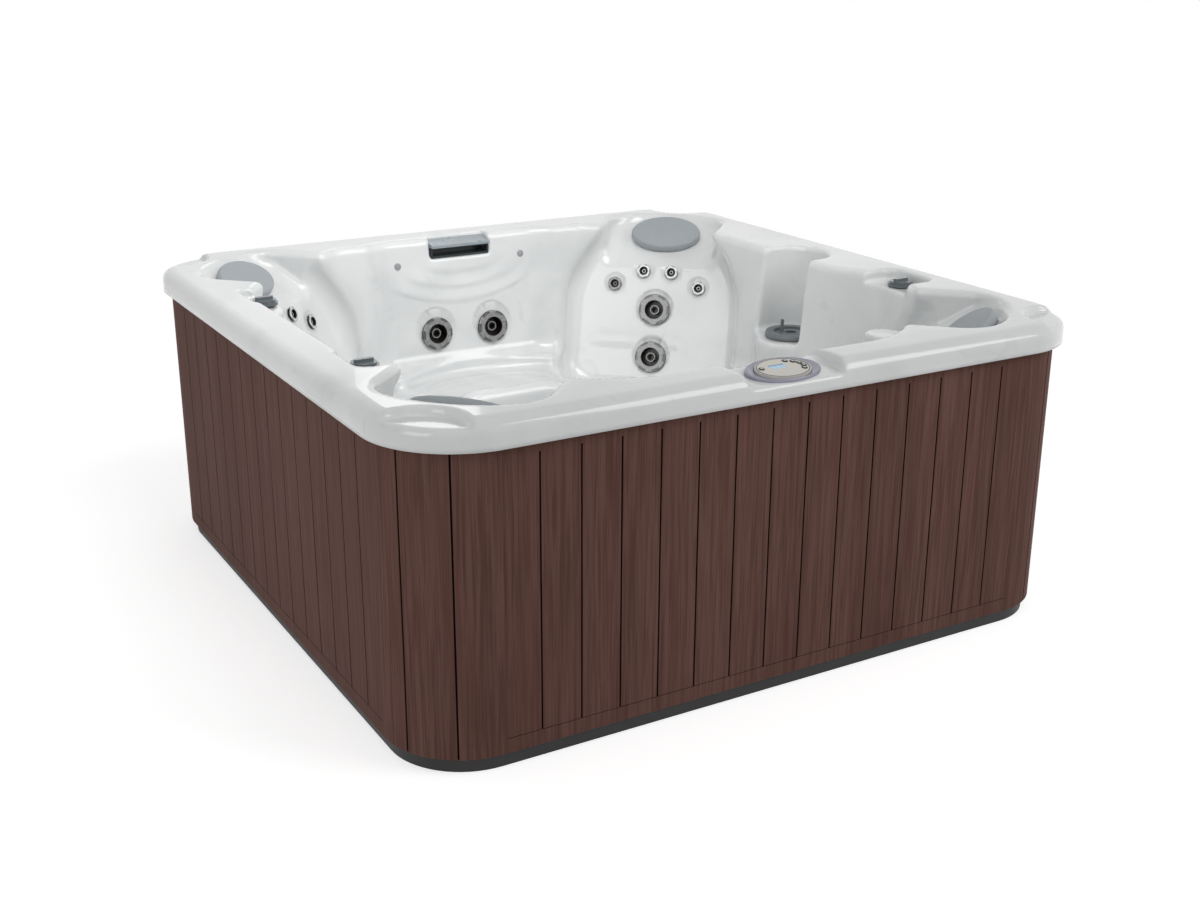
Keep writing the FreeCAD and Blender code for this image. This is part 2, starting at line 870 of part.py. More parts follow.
def make_shell():
    rim = rounded(lip_block(sized(0), d.lip_top, d.lip_bottom), d.lip_round, lying_at(d.lip_top))
    soft_rim = rounded(rim, d.lip_edge_round, lying_at(d.lip_bottom))
    under_rim = lip_block(d.skin, d.lip_top - d.skin, d.lip_bottom - d.sink)
    hidden_round = rounded(under_rim, d.lip_round - d.skin, lying_at(d.lip_top - d.skin))
    inset = d.lip_overhang + d.panel_thickness
    room = lip_block(inset, d.lip_bottom + d.sink, d.base_height)
    allowed = fused(soft_rim, room)
    rim_skin = without(soft_rim, hidden_round)
    skin = fused(rim_skin, shared(hollows(d.skin), allowed))
    hollowed = without(skin, hollows(sized(0)))
    finish("acrylic_shell", without(hollowed, *wall_holes()))


# Cabinet, base and frame

def make_base():
    side = d.cabinet_width - 2 * d.base_inset
    slab = box(side, side, d.base_height)
    finish("base_pan", rounded(slab, d.cabinet_corner - d.base_inset, standing))


def side_panel():
    """One slatted side, standing behind its own XZ plane with its face towards -Y."""
    half = d.cabinet_width / 2 - d.corner_reach - d.seam / 2
    body = doc.addObject("PartDesign::Body", "Panel")
    face = outline(body, "XZ_Plane", [
        (-half, d.base_height), (half, d.base_height), (half, d.panel_top), (-half, d.panel_top)])
    board = body.newObject("PartDesign::Pad", "Board")
    board.Profile = face
    board.Reversed = True
    bind(board, Length=d.panel_thickness)
    first = -d.slat_pitch * (d.slat_grooves - 1) / 2
    groove = outline(body, "XZ_Plane", [
        (first - d.groove_width / 2, d.groove_bottom), (first + d.groove_width / 2, d.groove_bottom),
        (first + d.groove_width / 2, d.groove_top), (first - d.groove_width / 2, d.groove_top)])
    cut = body.newObject("PartDesign::Pocket", "Groove")
    cut.Profile = groove
    bind(cut, Length=d.groove_depth)
    slats = body.newObject("PartDesign::LinearPattern", "Slats")
    slats.Originals = [cut]
    slats.Direction = (origin_feature(body, "X_Axis"), [""])
    bind(slats, Length=d.slat_pitch * (d.slat_grooves - 1))
    slats.Occurrences = int(number(d.slat_grooves))
    slats.setExpression("Occurrences", d.slat_grooves.formula)
    body.Tip = slats
    line = outline(body, "XZ_Plane", [
        (-half, d.groove_bottom - d.rail_line), (half, d.groove_bottom - d.rail_line),
        (half, d.groove_bottom), (-half, d.groove_bottom)])
    rail = body.newObject("PartDesign::Pocket", "RailLine")
    rail.Profile = line
    bind(rail, Length=d.rail_line)
    body.Tip = rail
    return body


def corner_panel():
    """A quarter-round corner piece about the origin, facing -X and -Y, with two grooves."""
    radius = d.cabinet_corner
    inner = radius - d.panel_thickness
    height = d.panel_top - d.base_height
    leg = d.corner_reach - radius - d.seam / 2
    ring = without(cylinder(radius, height), cylinder(inner, height))
    quarter = shared(ring, box(radius, radius, height, -radius / 2, -radius / 2))
    side_leg = box(d.panel_thickness, leg, height, d.panel_thickness / 2 - radius, leg / 2)
    front_leg = box(leg, d.panel_thickness, height, leg / 2, d.panel_thickness / 2 - radius)
    grooves = []
    for step in range(2):
        angle = d.corner_groove_angle + step * d.corner_groove_step
        groove = box(2 * d.groove_depth, d.groove_width, height, -radius)
        grooves.append(carried(groove, Placement(Vector(), Rotation(Vector(0, 0, 1), number(angle)))))
    return without(fused(quarter, side_leg, front_leg), *grooves)


def make_cabinet():
    face = d.cabinet_width / 2
    for name, quarter_turns in (("front", 0), ("right", 1), ("back", 2), ("left", 3)):
        turn = Rotation(Vector(0, 0, 1), 90 * quarter_turns)
        place = turn.multVec(Vector(0, -number(face), 0))
        finish(f"cabinet_panel_{name}", side_panel(), Placement(place, turn))
    middle = face - d.cabinet_corner
    quarters = (("front_left", 0), ("front_right", 1), ("back_right", 2), ("back_left", 3))
    for name, quarter_turns in quarters:
        turn = Rotation(Vector(0, 0, 1), 90 * quarter_turns)
        place = turn.multVec(Vector(-number(middle), -number(middle), number(d.base_height)))
        finish(f"corner_panel_{name}", corner_panel(), Placement(place, turn))


def make_frame():
    rail_middle = d.inside - d.rail_width / 2
    rail_low = d.recess_floor - d.skin - d.rail_height
    front_low = rail_low - d.front_rail_drop
    rails = [
        box(d.rail_width, d.rail_length, d.rail_height, -rail_middle, 0, rail_low),
        box(d.rail_width, d.rail_length, d.rail_height, rail_middle, 0, rail_low),
        box(d.rail_length, d.rail_width, d.rail_height, 0, rail_middle, rail_low),
        box(d.rail_length, d.rail_width, d.rail_height, 0, -rail_middle, front_low),
    ]
    finish("frame_rails", group(*rails))
    floor = d.base_height
    height = rail_low - floor
    posts = []
    for side in (-1, 1):
        spread = side * d.post_spread
        posts += [
            box(d.rail_width, d.post_width, height, -rail_middle, spread, floor),
            box(d.rail_width, d.post_width, height, rail_middle, spread, floor),
            box(d.post_width, d.rail_width, height, spread, rail_middle, floor),
            box(d.post_width, d.rail_width, front_low - floor, spread, -rail_middle, floor),
        ]
    corner_height = d.lip_top - d.shelf_drop - d.skin - floor
    for side, depth in CORNERS.values():
        x, y = side * d.corner_post_place, depth * d.corner_post_place
        posts.append(box(d.post_width, d.post_width, corner_height, x, y, floor))
    finish("frame_posts", group(*posts))


# Jets

def jet_body(radius, flange_radius, depth):
    """A cup behind the skin with a flange in front of it, about its own Z axis."""
    bore = radius - d.jet_body_wall
    return turned([
        (0, -depth), (radius, -depth), (radius, 0), (flange_radius, 0), (flange_radius, d.jet_flange),
        (bore, d.jet_flange), (bore, d.jet_body_wall - depth), (0, d.jet_body_wall - depth)])


def jet_face(radius, height, bevel, ring_bore, body_radius, skirt_depth, nozzle):
    """A turning face ring with its skirt; with a nozzle it also has a floor and a central spout."""
    low = d.jet_flange + d.clearance
    skirt = body_radius - d.jet_body_wall - d.clearance
    top = low + height
    outside = [
        (skirt, -skirt_depth), (skirt, low), (radius, low), (radius, top - bevel), (radius - bevel, top)]
    if nozzle is None:
        return turned(outside + [(ring_bore, top), (ring_bore, -skirt_depth)])
    spout, spout_bore = nozzle
    floor = d.jet_floor - skirt_depth
    return turned([(0, -skirt_depth)] + outside + [
        (ring_bore, top), (ring_bore, floor), (spout, floor), (spout, low), (spout_bore, low),
        (spout_bore, floor), (0, floor)])


def make_large_jets():
    bodies = []
    for name, frame in large_jet_frames().items():
        body = jet_body(d.jet_body_radius, d.jet_flange_radius, d.jet_body_depth)
        body.Placement = frame
        bodies.append(body)
        spins = name.startswith("middle")
        nozzle = None if spins else (d.nozzle_radius, d.nozzle_bore)
        face = jet_face(d.jet_radius, d.jet_ring_height, d.jet_bevel, d.jet_ring_bore,
                        d.jet_body_radius, d.jet_skirt_depth, nozzle)
        top = d.jet_flange + d.clearance + d.jet_ring_height
        notched(face, d.jet_notches, d.jet_notch_width, d.jet_radius - d.jet_notch_reach,
                d.jet_radius + d.jet_notch_reach, top - d.jet_notch_depth, top)
        finish(f"jet_ring_{name}", face, frame)
        if spins:
            finish(f"jet_nozzle_{name}", spinning_nozzle(), frame)
    finish("large_jet_bodies", group(*bodies))


def spinning_nozzle():
    """The nozzle of a middle jet: a disc that turns in the ring's skirt, a spout and a pivot pin."""
    rim = d.jet_ring_bore - d.clearance
    low = -d.jet_skirt_depth
    pin_low = d.jet_body_wall + d.clearance - d.jet_body_depth
    return turned([
        (0, pin_low), (d.nozzle_bore, pin_low), (d.nozzle_bore, low), (rim, low), (rim, low + d.jet_floor),
        (d.nozzle_radius, low + d.jet_floor), (d.nozzle_radius, low + d.nozzle_height),
        (d.nozzle_bore, low + d.nozzle_height), (d.nozzle_bore, low + d.jet_floor), (0, low + d.jet_floor)])


def make_small_jets():
    bodies = []
    for name, frame in small_jet_frames().items():
        body = jet_body(d.small_body_radius, d.small_flange_radius, d.small_body_depth)
        body.Placement = frame
        bodies.append(body)
        nozzle = (d.small_nozzle_radius, d.small_nozzle_bore)
        face = jet_face(d.small_jet_radius, d.small_jet_height, d.small_jet_bevel, d.small_jet_bore,
                        d.small_body_radius, d.small_skirt_depth, nozzle)
        top = d.jet_flange + d.clearance + d.small_jet_height
        notched(face, d.small_jet_notches, d.small_notch_width, d.small_jet_radius - d.small_notch_reach,
                d.small_jet_radius + d.small_notch_reach, top - d.small_notch_depth, top)
        finish(f"small_jet_{name}", face, frame)
    finish("small_jet_bodies", group(*bodies))


# Rim knobs

def knob():
    """A turning knob on its own Z axis, with a stem below it and a bar to grip on top."""
    low = d.jet_flange + d.clearance
    step = low + d.knob_base_height
    top = low + d.knob_height - d.knob_grip_depth
    cap = turned([
        (0, -d.knob_stem_depth), (d.knob_stem_radius, -d.knob_stem_depth), (d.knob_stem_radius, low),
        (d.knob_radius, low), (d.knob_radius, step), (d.knob_cap_radius, step), (d.knob_cap_radius, top),
        (0, top)])
    grip_length = 2 * d.knob_cap_radius - d.knob_grip_width
    grip = box(grip_length, d.knob_grip_width, d.knob_grip_depth, 0, 0, top)
    return fused(cap, rounded(grip, d.knob_grip_round, standing))


def valve_body():
    """The valve below a knob: a tube through the ledge with a flange on it."""
    bore = d.knob_stem_radius + d.clearance
    bore_end = -d.knob_stem_depth - d.clearance
    return turned([
        (0, -d.valve_depth), (d.valve_radius, -d.valve_depth), (d.valve_radius, 0),
        (d.valve_flange_radius, 0), (d.valve_flange_radius, d.jet_flange), (bore, d.jet_flange),
        (bore, bore_end), (0, bore_end)])


def make_knobs():
    valves = []
    for name, (x, y) in knob_places().items():
        frame = upright_frame(x, y, d.recess_floor)
        valve = valve_body()
        valve.Placement = frame
        valves.append(valve)
        finish(name, knob(), frame)
    finish("valve_bodies", group(*valves))


# Filter

def make_filter():
    """The canister under the niche, its cartridge, and the lift-out lid with a hub and a tab."""
    x, y = d.niche_x, d.niche_y
    flange = d.canister_radius + d.canister_wall + d.jet_flange
    inside = d.canister_radius - d.canister_wall
    top = d.niche_floor + d.jet_flange
    bottom = d.canister_bottom
    low = bottom + d.canister_wall
    canister = turned([
        (0, bottom), (d.canister_radius, bottom), (d.canister_radius, d.niche_floor),
        (flange, d.niche_floor), (flange, top), (inside, top), (inside, low), (0, low)])
    finish("filter_canister", canister, upright_frame(x, y, 0))
    high = low + d.cartridge_height
    bore, radius = d.cartridge_bore, d.cartridge_radius
    cartridge = turned([(bore, low), (radius, low), (radius, high), (bore, high)])
    finish("filter_cartridge", cartridge, upright_frame(x, y, 0))
    seat = top + d.clearance
    skirt = inside - d.clearance
    lid_low = seat - d.lid_depth
    ring_top = seat + d.lid_ring_height
    groove_floor = ring_top - d.lid_groove_depth
    hub_top = ring_top - d.hub_drop
    lid = turned([
        (d.hub_bore, lid_low), (skirt, lid_low), (skirt, seat), (d.lid_radius, seat),
        (d.lid_radius, seat + d.lid_ring_height / 2), (d.lid_radius - d.lid_bevel, ring_top),
        (d.lid_groove_radius, ring_top), (d.lid_groove_radius, groove_floor),
        (d.hub_radius, groove_floor), (d.hub_radius, hub_top), (d.hub_bore, hub_top)])
    hub_wall = d.hub_radius - d.hub_bore
    tab_x = d.hub_bore + hub_wall / 2
    tab = box(hub_wall / 2, d.tab_width, hub_top + d.tab_height - groove_floor, tab_x, 0, groove_floor)
    carried(tab, Placement(Vector(), Rotation(Vector(0, 0, 1), number(d.tab_angle))))
    finish("filter_lid", fused(lid, tab), upright_frame(x, y, 0))


# Waterfall and lights

def make_waterfall():
    width = d.waterfall_width
    front = d.waterfall_front
    back = d.waterfall_back
    depth = back - front
    middle = (back + front) / 2
    low = d.waterfall_bottom
    height = d.waterfall_spout_height
    block = box(width, depth, height, 0, middle, low)
    wall = d.waterfall_wall
    mouth = box(width - 2 * wall, depth - wall, height - 2 * wall, 0, middle - wall / 2, low + wall)
    finish("waterfall_spout", without(block, mouth))
    top = low + height
    edge = front - d.waterfall_overhang
    body = doc.addObject("PartDesign::Body", "Cap")
    rise = depth * tangent(d.waterfall_cap_slope)
    side = outline(body, "YZ_Plane", [
        (edge, top), (back, top), (back, top + rise + d.waterfall_cap_thickness),
        (edge, top + d.waterfall_cap_thickness)])
    pad = body.newObject("PartDesign::Pad", "Lid")
    pad.Profile = side
    pad.Midplane = True
    bind(pad, Length=width)
    finish("waterfall_cap", body)


def make_lights():
    lenses = []
    for frame in light_frames():
        lens = turned([
            (0, -2 * d.skin), (d.light_stem, -2 * d.skin), (d.light_stem, 0), (d.light_radius, 0),
            (d.light_radius, d.jet_flange / 2), (d.light_stem, d.jet_flange), (0, d.jet_flange)])
        lens.Placement = frame
        lenses.append(lens)
    finish("accent_lights", group(*lenses))


# Control panel

# Angle of each button round the panel's face, counted from its right-hand end
BUTTONS = {
    "button_jets_one": 165,
    "button_jets_two": 62,
    "button_light": 40,
    "button_menu": 18,
    "button_up": -6,
    "button_down": -30,
}


def button_place(angle):
    """The middle of a button, on an oval set in from the edge of the panel's face."""
    across = (d.panel_half_length - d.button_inset) * cosine(sized(angle))
    along = (d.panel_half_width - d.button_inset) * sine(sized(angle))
    return across, along


def display(gap):
    """The display's window in the panel's face; with a gap it is the pocket that it lies in."""
    low = d.panel_height - d.display_depth
    length = d.display_length + 2 * gap
    width = d.display_width + 2 * gap
    return box(length, width, d.display_depth, d.display_x, d.display_y, low)


def make_control_panel():
    frame = panel_frame()
    gap = d.clearance
    bezel = without(
        oval(d.bezel_half_length, d.bezel_half_width, d.bezel_height),
        oval(d.panel_half_length + gap, d.panel_half_width + gap, d.bezel_height))
    finish("control_bezel", bezel, frame)
    plate = oval(d.panel_half_length, d.panel_half_width, d.panel_height)
    unit = box(d.unit_length, d.unit_width, d.unit_depth, 0, 0, -d.unit_depth)
    pockets = [display(gap)]
    button_low = d.panel_height - d.button_height
    for angle in BUTTONS.values():
        pockets.append(cylinder(d.button_radius + gap, d.button_height, *button_place(angle), button_low))
    finish("control_unit", without(fused(plate, unit), *pockets), frame)
    finish("display_window", display(sized(0)), frame)
    cap_low = button_low + d.button_travel + gap
    cap_height = d.panel_height + d.button_proud - cap_low
    for name, angle in BUTTONS.items():
        finish(name, cylinder(d.button_radius, cap_height, *button_place(angle), cap_low), frame)


# Pillows

# Share of the thickness, and share of the full outline there: drawn in at the back, soft at the edge
PILLOW_LAYERS = ((0.0, 0.90), (0.25, 0.98), (0.55, 1.0), (0.85, 0.95), (1.0, 0.82))


def pillow():
    """A cushion on its own XY plane, with drawn-in sides and a low crown."""
    half_length = d.pillow_width / 2
    half_width = d.pillow_height / 2
    sections = []
    for height_share, outline_share in PILLOW_LAYERS:
        ring = doc.addObject("Part::Ellipse", "Ring")
        bind(ring, MajorRadius=half_length * outline_share, MinorRadius=half_width * outline_share)
        sections.append(put(ring, 0, 0, d.pillow_thickness * height_share))
    sides = doc.addObject("Part::Loft", "Sides")
    sides.Sections = sections
    sides.Solid = True
    crown = doc.addObject("Part::Ellipsoid", "Crown")
    crown_share = PILLOW_LAYERS[-1][1] - d.pillow_crown / d.pillow_width
    bind(crown, Radius1=d.pillow_crown, Radius2=half_length * crown_share,
         Radius3=half_width * crown_share)
    put(crown, 0, 0, d.pillow_thickness)
    return fused(sides, crown)


def make_pillows():
    lift = Placement(Vector(0, 0, number(d.clearance)), Rotation())
    for corner in CORNERS:
        finish(f"pillow_{corner}", pillow(), pillow_frame(corner).multiply(lift))


# Equipment

def fitting_frames():
    """Frames of the suction and return fittings, on the footwell's front wall."""
    wall = -number(d.footwell_half)
    facing = Rotation(Vector(1, 0, 0), -90)
    return [
        Placement(Vector(number(d.suction_x), wall, number(d.pump_level)), facing),
        Placement(Vector(number(d.return_x), wall, number(d.heater_level)), facing),
    ]


def make_fittings():
    covers = []
    for frame in fitting_frames():
        cover = turned([
            (d.pipe_bore, -2 * d.skin), (d.pipe_radius, -2 * d.skin), (d.pipe_radius, 0),
            (d.fitting_cover_radius, 0), (d.fitting_cover_radius, d.fitting_cover_height / 2),
            (d.fitting_cover_radius / 2, d.fitting_cover_height), (0, d.fitting_cover_height),
            (0, d.fitting_cover_height / 2), (d.pipe_bore, d.fitting_cover_height / 2)])
        cover.Placement = frame
        covers.append(cover)
    finish("footwell_fittings", group(*covers))


def pump_axis(x):
    """A frame on the pump's axis, its Z towards +X."""
    place = Vector(number(x), number(d.pump_y), number(d.pump_level))
    return Placement(place, Rotation(Vector(0, 1, 0), 90))


def lying(radius, length, x):
    """A cylinder on the pump's axis, from x towards +X."""
    return carried(cylinder(radius, length), pump_axis(x))


def riser_x():
    return d.pump_x + d.volute_length / 2


def make_pump():
    wall = d.volute_wall
    length = d.volute_length
    hole = d.shaft_radius + d.clearance
    riser = cylinder(d.port_radius, d.riser_top - d.pump_level, riser_x(), d.pump_y, d.pump_level)
    riser_bore = cylinder(d.pipe_bore, d.riser_top - d.pump_level, riser_x(), d.pump_y, d.pump_level)
    volute = lying(d.volute_radius, length, d.pump_x)
    inlet = lying(d.port_radius, length + d.port_length, d.pump_x)
    chamber = lying(d.volute_radius - wall, length - 2 * wall, d.pump_x + wall)
    inlet_bore = lying(d.pipe_bore, length + d.port_length, d.pump_x + wall)
    shaft_hole = lying(hole, length, d.pump_x)
    casing = fused(volute, inlet, riser)
    finish("pump_wet_end", without(casing, chamber, riser_bore, inlet_bore, shaft_hole))
    blind = d.shaft_length + d.clearance
    motor = turned([
        (0, -d.motor_length), (d.motor_radius, -d.motor_length), (d.motor_radius, 0), (hole, 0),
        (hole, -blind), (0, -blind)])
    motor.Placement = pump_axis(d.pump_x)
    foot_height = d.pump_level - d.motor_radius / 2 - d.base_height
    foot_x = d.pump_x - d.motor_length / 2
    foot = box(d.motor_foot_length, d.motor_foot_width, foot_height, foot_x, d.pump_y, d.base_height)
    shaft_room = lying(hole, blind, d.pump_x - blind)
    finish("pump_motor", fused(motor, without(foot, shaft_room)))
    disc_low = (length - d.impeller_thickness) / 2
    disc_high = disc_low + d.impeller_thickness
    rotor = turned([
        (0, -d.shaft_length), (d.shaft_radius, -d.shaft_length), (d.shaft_radius, disc_low),
        (d.impeller_radius, disc_low), (d.impeller_radius, disc_high), (0, disc_high)])
    finish("pump_rotor", rotor, pump_axis(d.pump_x))


def pipe(points):
    """A tube through corner points, with an arc of the pipe's bend at each inner point."""
    corners = [Vector(*(number(value) for value in point)) for point in points]
    bend = number(d.pipe_bend)
    edges = []
    start = corners[0]
    for before, here, after in zip(corners, corners[1:], corners[2:]):
        entry = here + (before - here).normalize() * bend
        leave = here + (after - here).normalize() * bend
        middle = here + ((entry - here) + (leave - here)) * (1 - math.sqrt(0.5))
        edges += [Part.makeLine(start, entry), Part.Arc(entry, middle, leave).toShape()]
        start = leave
    edges.append(Part.makeLine(start, corners[-1]))
    path = Part.Wire(edges)
    direction = corners[1] - corners[0]
    tube = [
        path.makePipeShell([Part.Wire(Part.makeCircle(number(radius), corners[0], direction))], True, False)
        for radius in (d.pipe_radius, d.pipe_bore)]
    return tube[0].cut(tube[1])


def make_pipes():
    """The suction pipe, the pump's riser and the heater's return, each a tube of its own."""
    stub = -(d.footwell_half + 2 * d.skin)
    inlet_x = d.pump_x + d.volute_length + d.port_length
    heater_end = d.heater_x + d.heater_length
    y, low, high = d.pump_y, d.pump_level, d.heater_level
    runs = [
        pipe([(inlet_x, y, low), (d.suction_x, y, low), (d.suction_x, stub, low)]),
        pipe([(riser_x(), y, d.riser_top), (riser_x(), y, high), (d.heater_x, y, high)]),
        pipe([(heater_end, y, high), (d.return_x, y, high), (d.return_x, stub, high)]),
    ]
    pipes = doc.addObject("Part::Feature", "Pipes")
    pipes.Shape = Part.makeCompound(runs)
    finish("main_pipes", pipes)


def make_heater_and_box():
    bore, radius, length = d.pipe_bore, d.heater_radius, d.heater_length
    heater = turned([(bore, 0), (radius, 0), (radius, length), (bore, length)])
    place = Vector(number(d.heater_x), number(d.pump_y), number(d.heater_level))
    finish("heater_tube", heater, Placement(place, Rotation(Vector(0, 1, 0), 90)))
    outside = box(d.box_length, d.box_width, d.box_height, d.box_x, d.pump_y, d.base_height)
    wall = d.box_wall
    inside = box(d.box_length - 2 * wall, d.box_width - 2 * wall, d.box_height - 2 * wall,
                 d.box_x, d.pump_y, d.base_height + wall)
    finish("equipment_box", without(outside, inside))


def build():
    make_shell()
    make_base()
    make_cabinet()
    make_frame()
    make_large_jets()
    make_small_jets()
    make_knobs()
    make_filter()
    make_waterfall()
    make_lights()
    make_control_panel()
    make_pillows()
    make_fittings()
    make_pump()
    make_pipes()
    make_heater_and_box()


def write():
    doc.recompute()
    failed = [thing for thing in doc.Objects if "Invalid" in thing.State or "Error" in thing.State]
    if failed:
        raise RuntimeError("failed: " + ", ".join(f"{thing.Name} {thing.Label}" for thing in failed))
    for name, thing in finished.items():
        if thing.Shape.isNull() or not thing.Shape.isValid():
            raise RuntimeError(f"{name} has no valid shape")
    os.makedirs("parts", exist_ok=True)
    for name, thing in finished.items():
        thing.Shape.exportStep(f"parts/{name}.step")
        print(name, len(thing.Shape.Solids), round(thing.Shape.Volume / 1000), "cm3")


build()
write()
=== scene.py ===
import itertools
import json
import math

import bpy
import numpy as np
from mathutils import Matrix, Vector


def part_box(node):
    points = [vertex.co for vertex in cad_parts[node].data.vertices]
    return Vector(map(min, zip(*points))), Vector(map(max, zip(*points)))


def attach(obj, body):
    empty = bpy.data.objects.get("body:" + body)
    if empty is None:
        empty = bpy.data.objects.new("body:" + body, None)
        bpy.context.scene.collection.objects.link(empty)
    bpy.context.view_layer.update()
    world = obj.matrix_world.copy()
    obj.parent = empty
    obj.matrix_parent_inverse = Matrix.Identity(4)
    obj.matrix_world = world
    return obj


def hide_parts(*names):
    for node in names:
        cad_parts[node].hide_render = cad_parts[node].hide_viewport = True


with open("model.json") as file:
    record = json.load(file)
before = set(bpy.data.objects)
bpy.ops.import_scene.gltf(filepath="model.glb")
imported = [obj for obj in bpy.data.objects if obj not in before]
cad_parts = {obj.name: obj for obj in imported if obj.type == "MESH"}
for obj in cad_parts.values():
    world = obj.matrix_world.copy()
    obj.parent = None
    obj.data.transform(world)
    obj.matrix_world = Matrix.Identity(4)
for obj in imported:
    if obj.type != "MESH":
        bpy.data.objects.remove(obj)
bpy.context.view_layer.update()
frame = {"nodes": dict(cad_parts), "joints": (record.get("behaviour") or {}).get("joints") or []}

# Hot tub in metres: origin under the middle of the base, +Z up, control panel towards -Y.

CORNERS = {"front_left": (-1, -1), "front_right": (1, -1), "back_left": (-1, 1), "back_right": (1, 1)}
JOINTS = {joint["child"]: joint for joint in frame["joints"]}
LARGE_JETS = [name for name in frame["nodes"] if name.startswith("jet_ring_")]
NOZZLES = [name for name in frame["nodes"] if name.startswith("jet_nozzle_")]
SMALL_JETS = [name for name in frame["nodes"] if name.startswith("small_jet_") and name in JOINTS]
KNOBS = [name for name in frame["nodes"] if name.startswith("knob_")]
BUTTONS = [name for name in frame["nodes"] if name.startswith("button_")]

# Cabinet. Its inside gives the places in plan, and the top of the lip gives the heights.
CABINET_FACE = -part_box("cabinet_panel_front")[0].y
CABINET_CORNER = 0.220
SLAT_PITCH = 0.1104
INSIDE = CABINET_FACE - 0.018
DIAGONAL = INSIDE * math.sqrt(2)

# Rim of the shell
SHELL_LOW, SHELL_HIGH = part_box("acrylic_shell")
LIP_HALF = SHELL_HIGH.x
LIP_TOP = SHELL_HIGH.z
LIP_BOTTOM = LIP_TOP - 0.074
LIP_CORNER = 0.245
LIP_ROUND = 0.042
SKIN = 0.012

# Basin: its walls' distance from the middle at seat height, and how they lean
SEAT_LEVEL = LIP_TOP - 0.450
SEAT_COVE = 0.050
BASIN_RIGHT = INSIDE - 0.2475
BASIN_WALLS = ((1, 0, BASIN_RIGHT), (-1, 0, INSIDE - 0.1375), (0, -1, INSIDE - 0.1325))
BASIN_BACK = INSIDE - 0.1525
BASIN_CORNER = (2 * INSIDE - 0.735) / math.sqrt(2)
BASIN_ROUND = 0.070
DRAFT = math.radians(5)
FOOTWELL_HALF = INSIDE - 0.5325
FOOTWELL_ROUND = 0.120
FOOTWELL_FLOOR = SHELL_LOW.z + SKIN
FOOTWELL_COVE = 0.040
FOOTWELL_EDGE = 0.045
BASIN_EDGE = 0.024

# Three shallow ribs across the middle seat's back: height of each at the middle, and its half width
RIBS = ((LIP_TOP - 0.228, 0.255), (LIP_TOP - 0.175, 0.195), (LIP_TOP - 0.122, 0.115))
RIB_CURVE = 0.560
RIB_HEIGHT = 0.005
RIB_EDGE = 0.012
RIB_FADE = 0.050
RIB_END = 0.080

# Upright swells that part the middle seat from the corner seats
SWELL_X = 0.395
SWELL_RADIUS = 0.090
SWELL_SUNK = 0.072
SWELL_EDGE = 0.060

# Dished pan in the middle seat, with a second, deeper oval in it: half length, half width, depth, cove
PAN_Y = BASIN_BACK - 0.180
PANS = ((0.330, 0.165, 0.045, 0.030), (0.215, 0.100, 0.053, 0.008))
PAN_EDGE = 0.016

# Corner seats: arched backrests that lean back over a bucket
ARCH_RADIUS = 0.325
ARCH_MIDDLE = LIP_TOP - 0.300
BACKREST_LEAN = math.radians(18)
BACKREST_REACH = DIAGONAL - 0.527
BACKREST_LEVEL = LIP_TOP - 0.470
BACKREST_COVE = 0.055
BUCKET_LEVEL = LIP_TOP - 0.595
BUCKET_ROUND = 0.110
ALCOVE_EDGE = 0.026

# Right side: bench scoop and filter niche
BENCH_MIDDLE = (BASIN_RIGHT - 0.255, -0.360)
BENCH_RADIUS = 0.330
BENCH_FLARE = 0.032 / 0.450
BENCH_EDGE = 0.020
CANISTER_LOW, CANISTER_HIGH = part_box("filter_canister")
NICHE_MIDDLE = (CANISTER_LOW + CANISTER_HIGH) / 2
NICHE_MIDDLE.z = LIP_TOP - 0.288
NICHE_RADIUS = 0.115
NICHE_HOLE = 0.074
NICHE_COVE = 0.020
NICHE_EDGE = 0.012
NICHE_CORBEL = (0.118, 0.260)

# Rim: corner shelves, knob ledges with their corbels, control panel, waterfall and front lug
SHELF_PLACE = LIP_HALF - 0.065
SHELF_RADIUS = 0.120
SHELF_DROP = 0.020
RIM_COVE = 0.008
SHELF_EDGE = 0.008
LEDGE_FLOOR = LIP_TOP - 0.036
LEDGE_OUTWARD = 0.052
LEDGE_INWARD = 0.110
LEDGE_HALF = 0.100
LEDGE_ROUND = 0.040
LEDGE_EDGE = 0.010
LEDGE_CORBEL = (0.090, 0.230)
CORBEL_SET_BACK = 0.037
CORBEL_ROUND = 0.020
CORBEL_EDGE = 0.040
PANEL_PLACE = Vector((0, 0.0275 - INSIDE, LIP_TOP - 0.026))
PANEL_TILT = math.radians(9)
SCOOP_HALF = 0.152
SCOOP_BACK = 0.078
SCOOP_FRONT = 0.090
SCOOP_ROUND = 0.060
SCOOP_EDGE = 0.010
NOTCH_MARGIN = 0.002
NOTCH_CORNER = 0.006
NOTCH_EDGE = 0.009
LUG_PLACE = (0.425, 0.1400 - INSIDE)
LUG_DROP = 0.006
LUG_TOP = LIP_TOP - LUG_DROP
LUG_RADIUS = 0.052
LUG_HEIGHT = 0.110
LUG_FOOT = 0.030
LUG_ROUND = 0.008
LUG_DISH_RADIUS = 0.036
LUG_DISH_DEPTH = 0.005
LUG_DISH_EDGE = 0.003

# Pillows
PILLOW_HALF_LENGTH = 0.131
PILLOW_HALF_WIDTH = 0.084
PILLOW_THICKNESS = 0.034
PILLOW_REACH = DIAGONAL - 0.309
PILLOW_LEVEL = LIP_TOP - 0.043
PILLOW_LEAN = math.radians(58)
PILLOW_MARGIN = 0.045
PILLOW_SIDE_MARGIN = 0.080
PILLOW_SEAT_COVE = 0.040
PILLOW_SEAT_EDGE = 0.018
PILLOW_LIFT = 0.0005

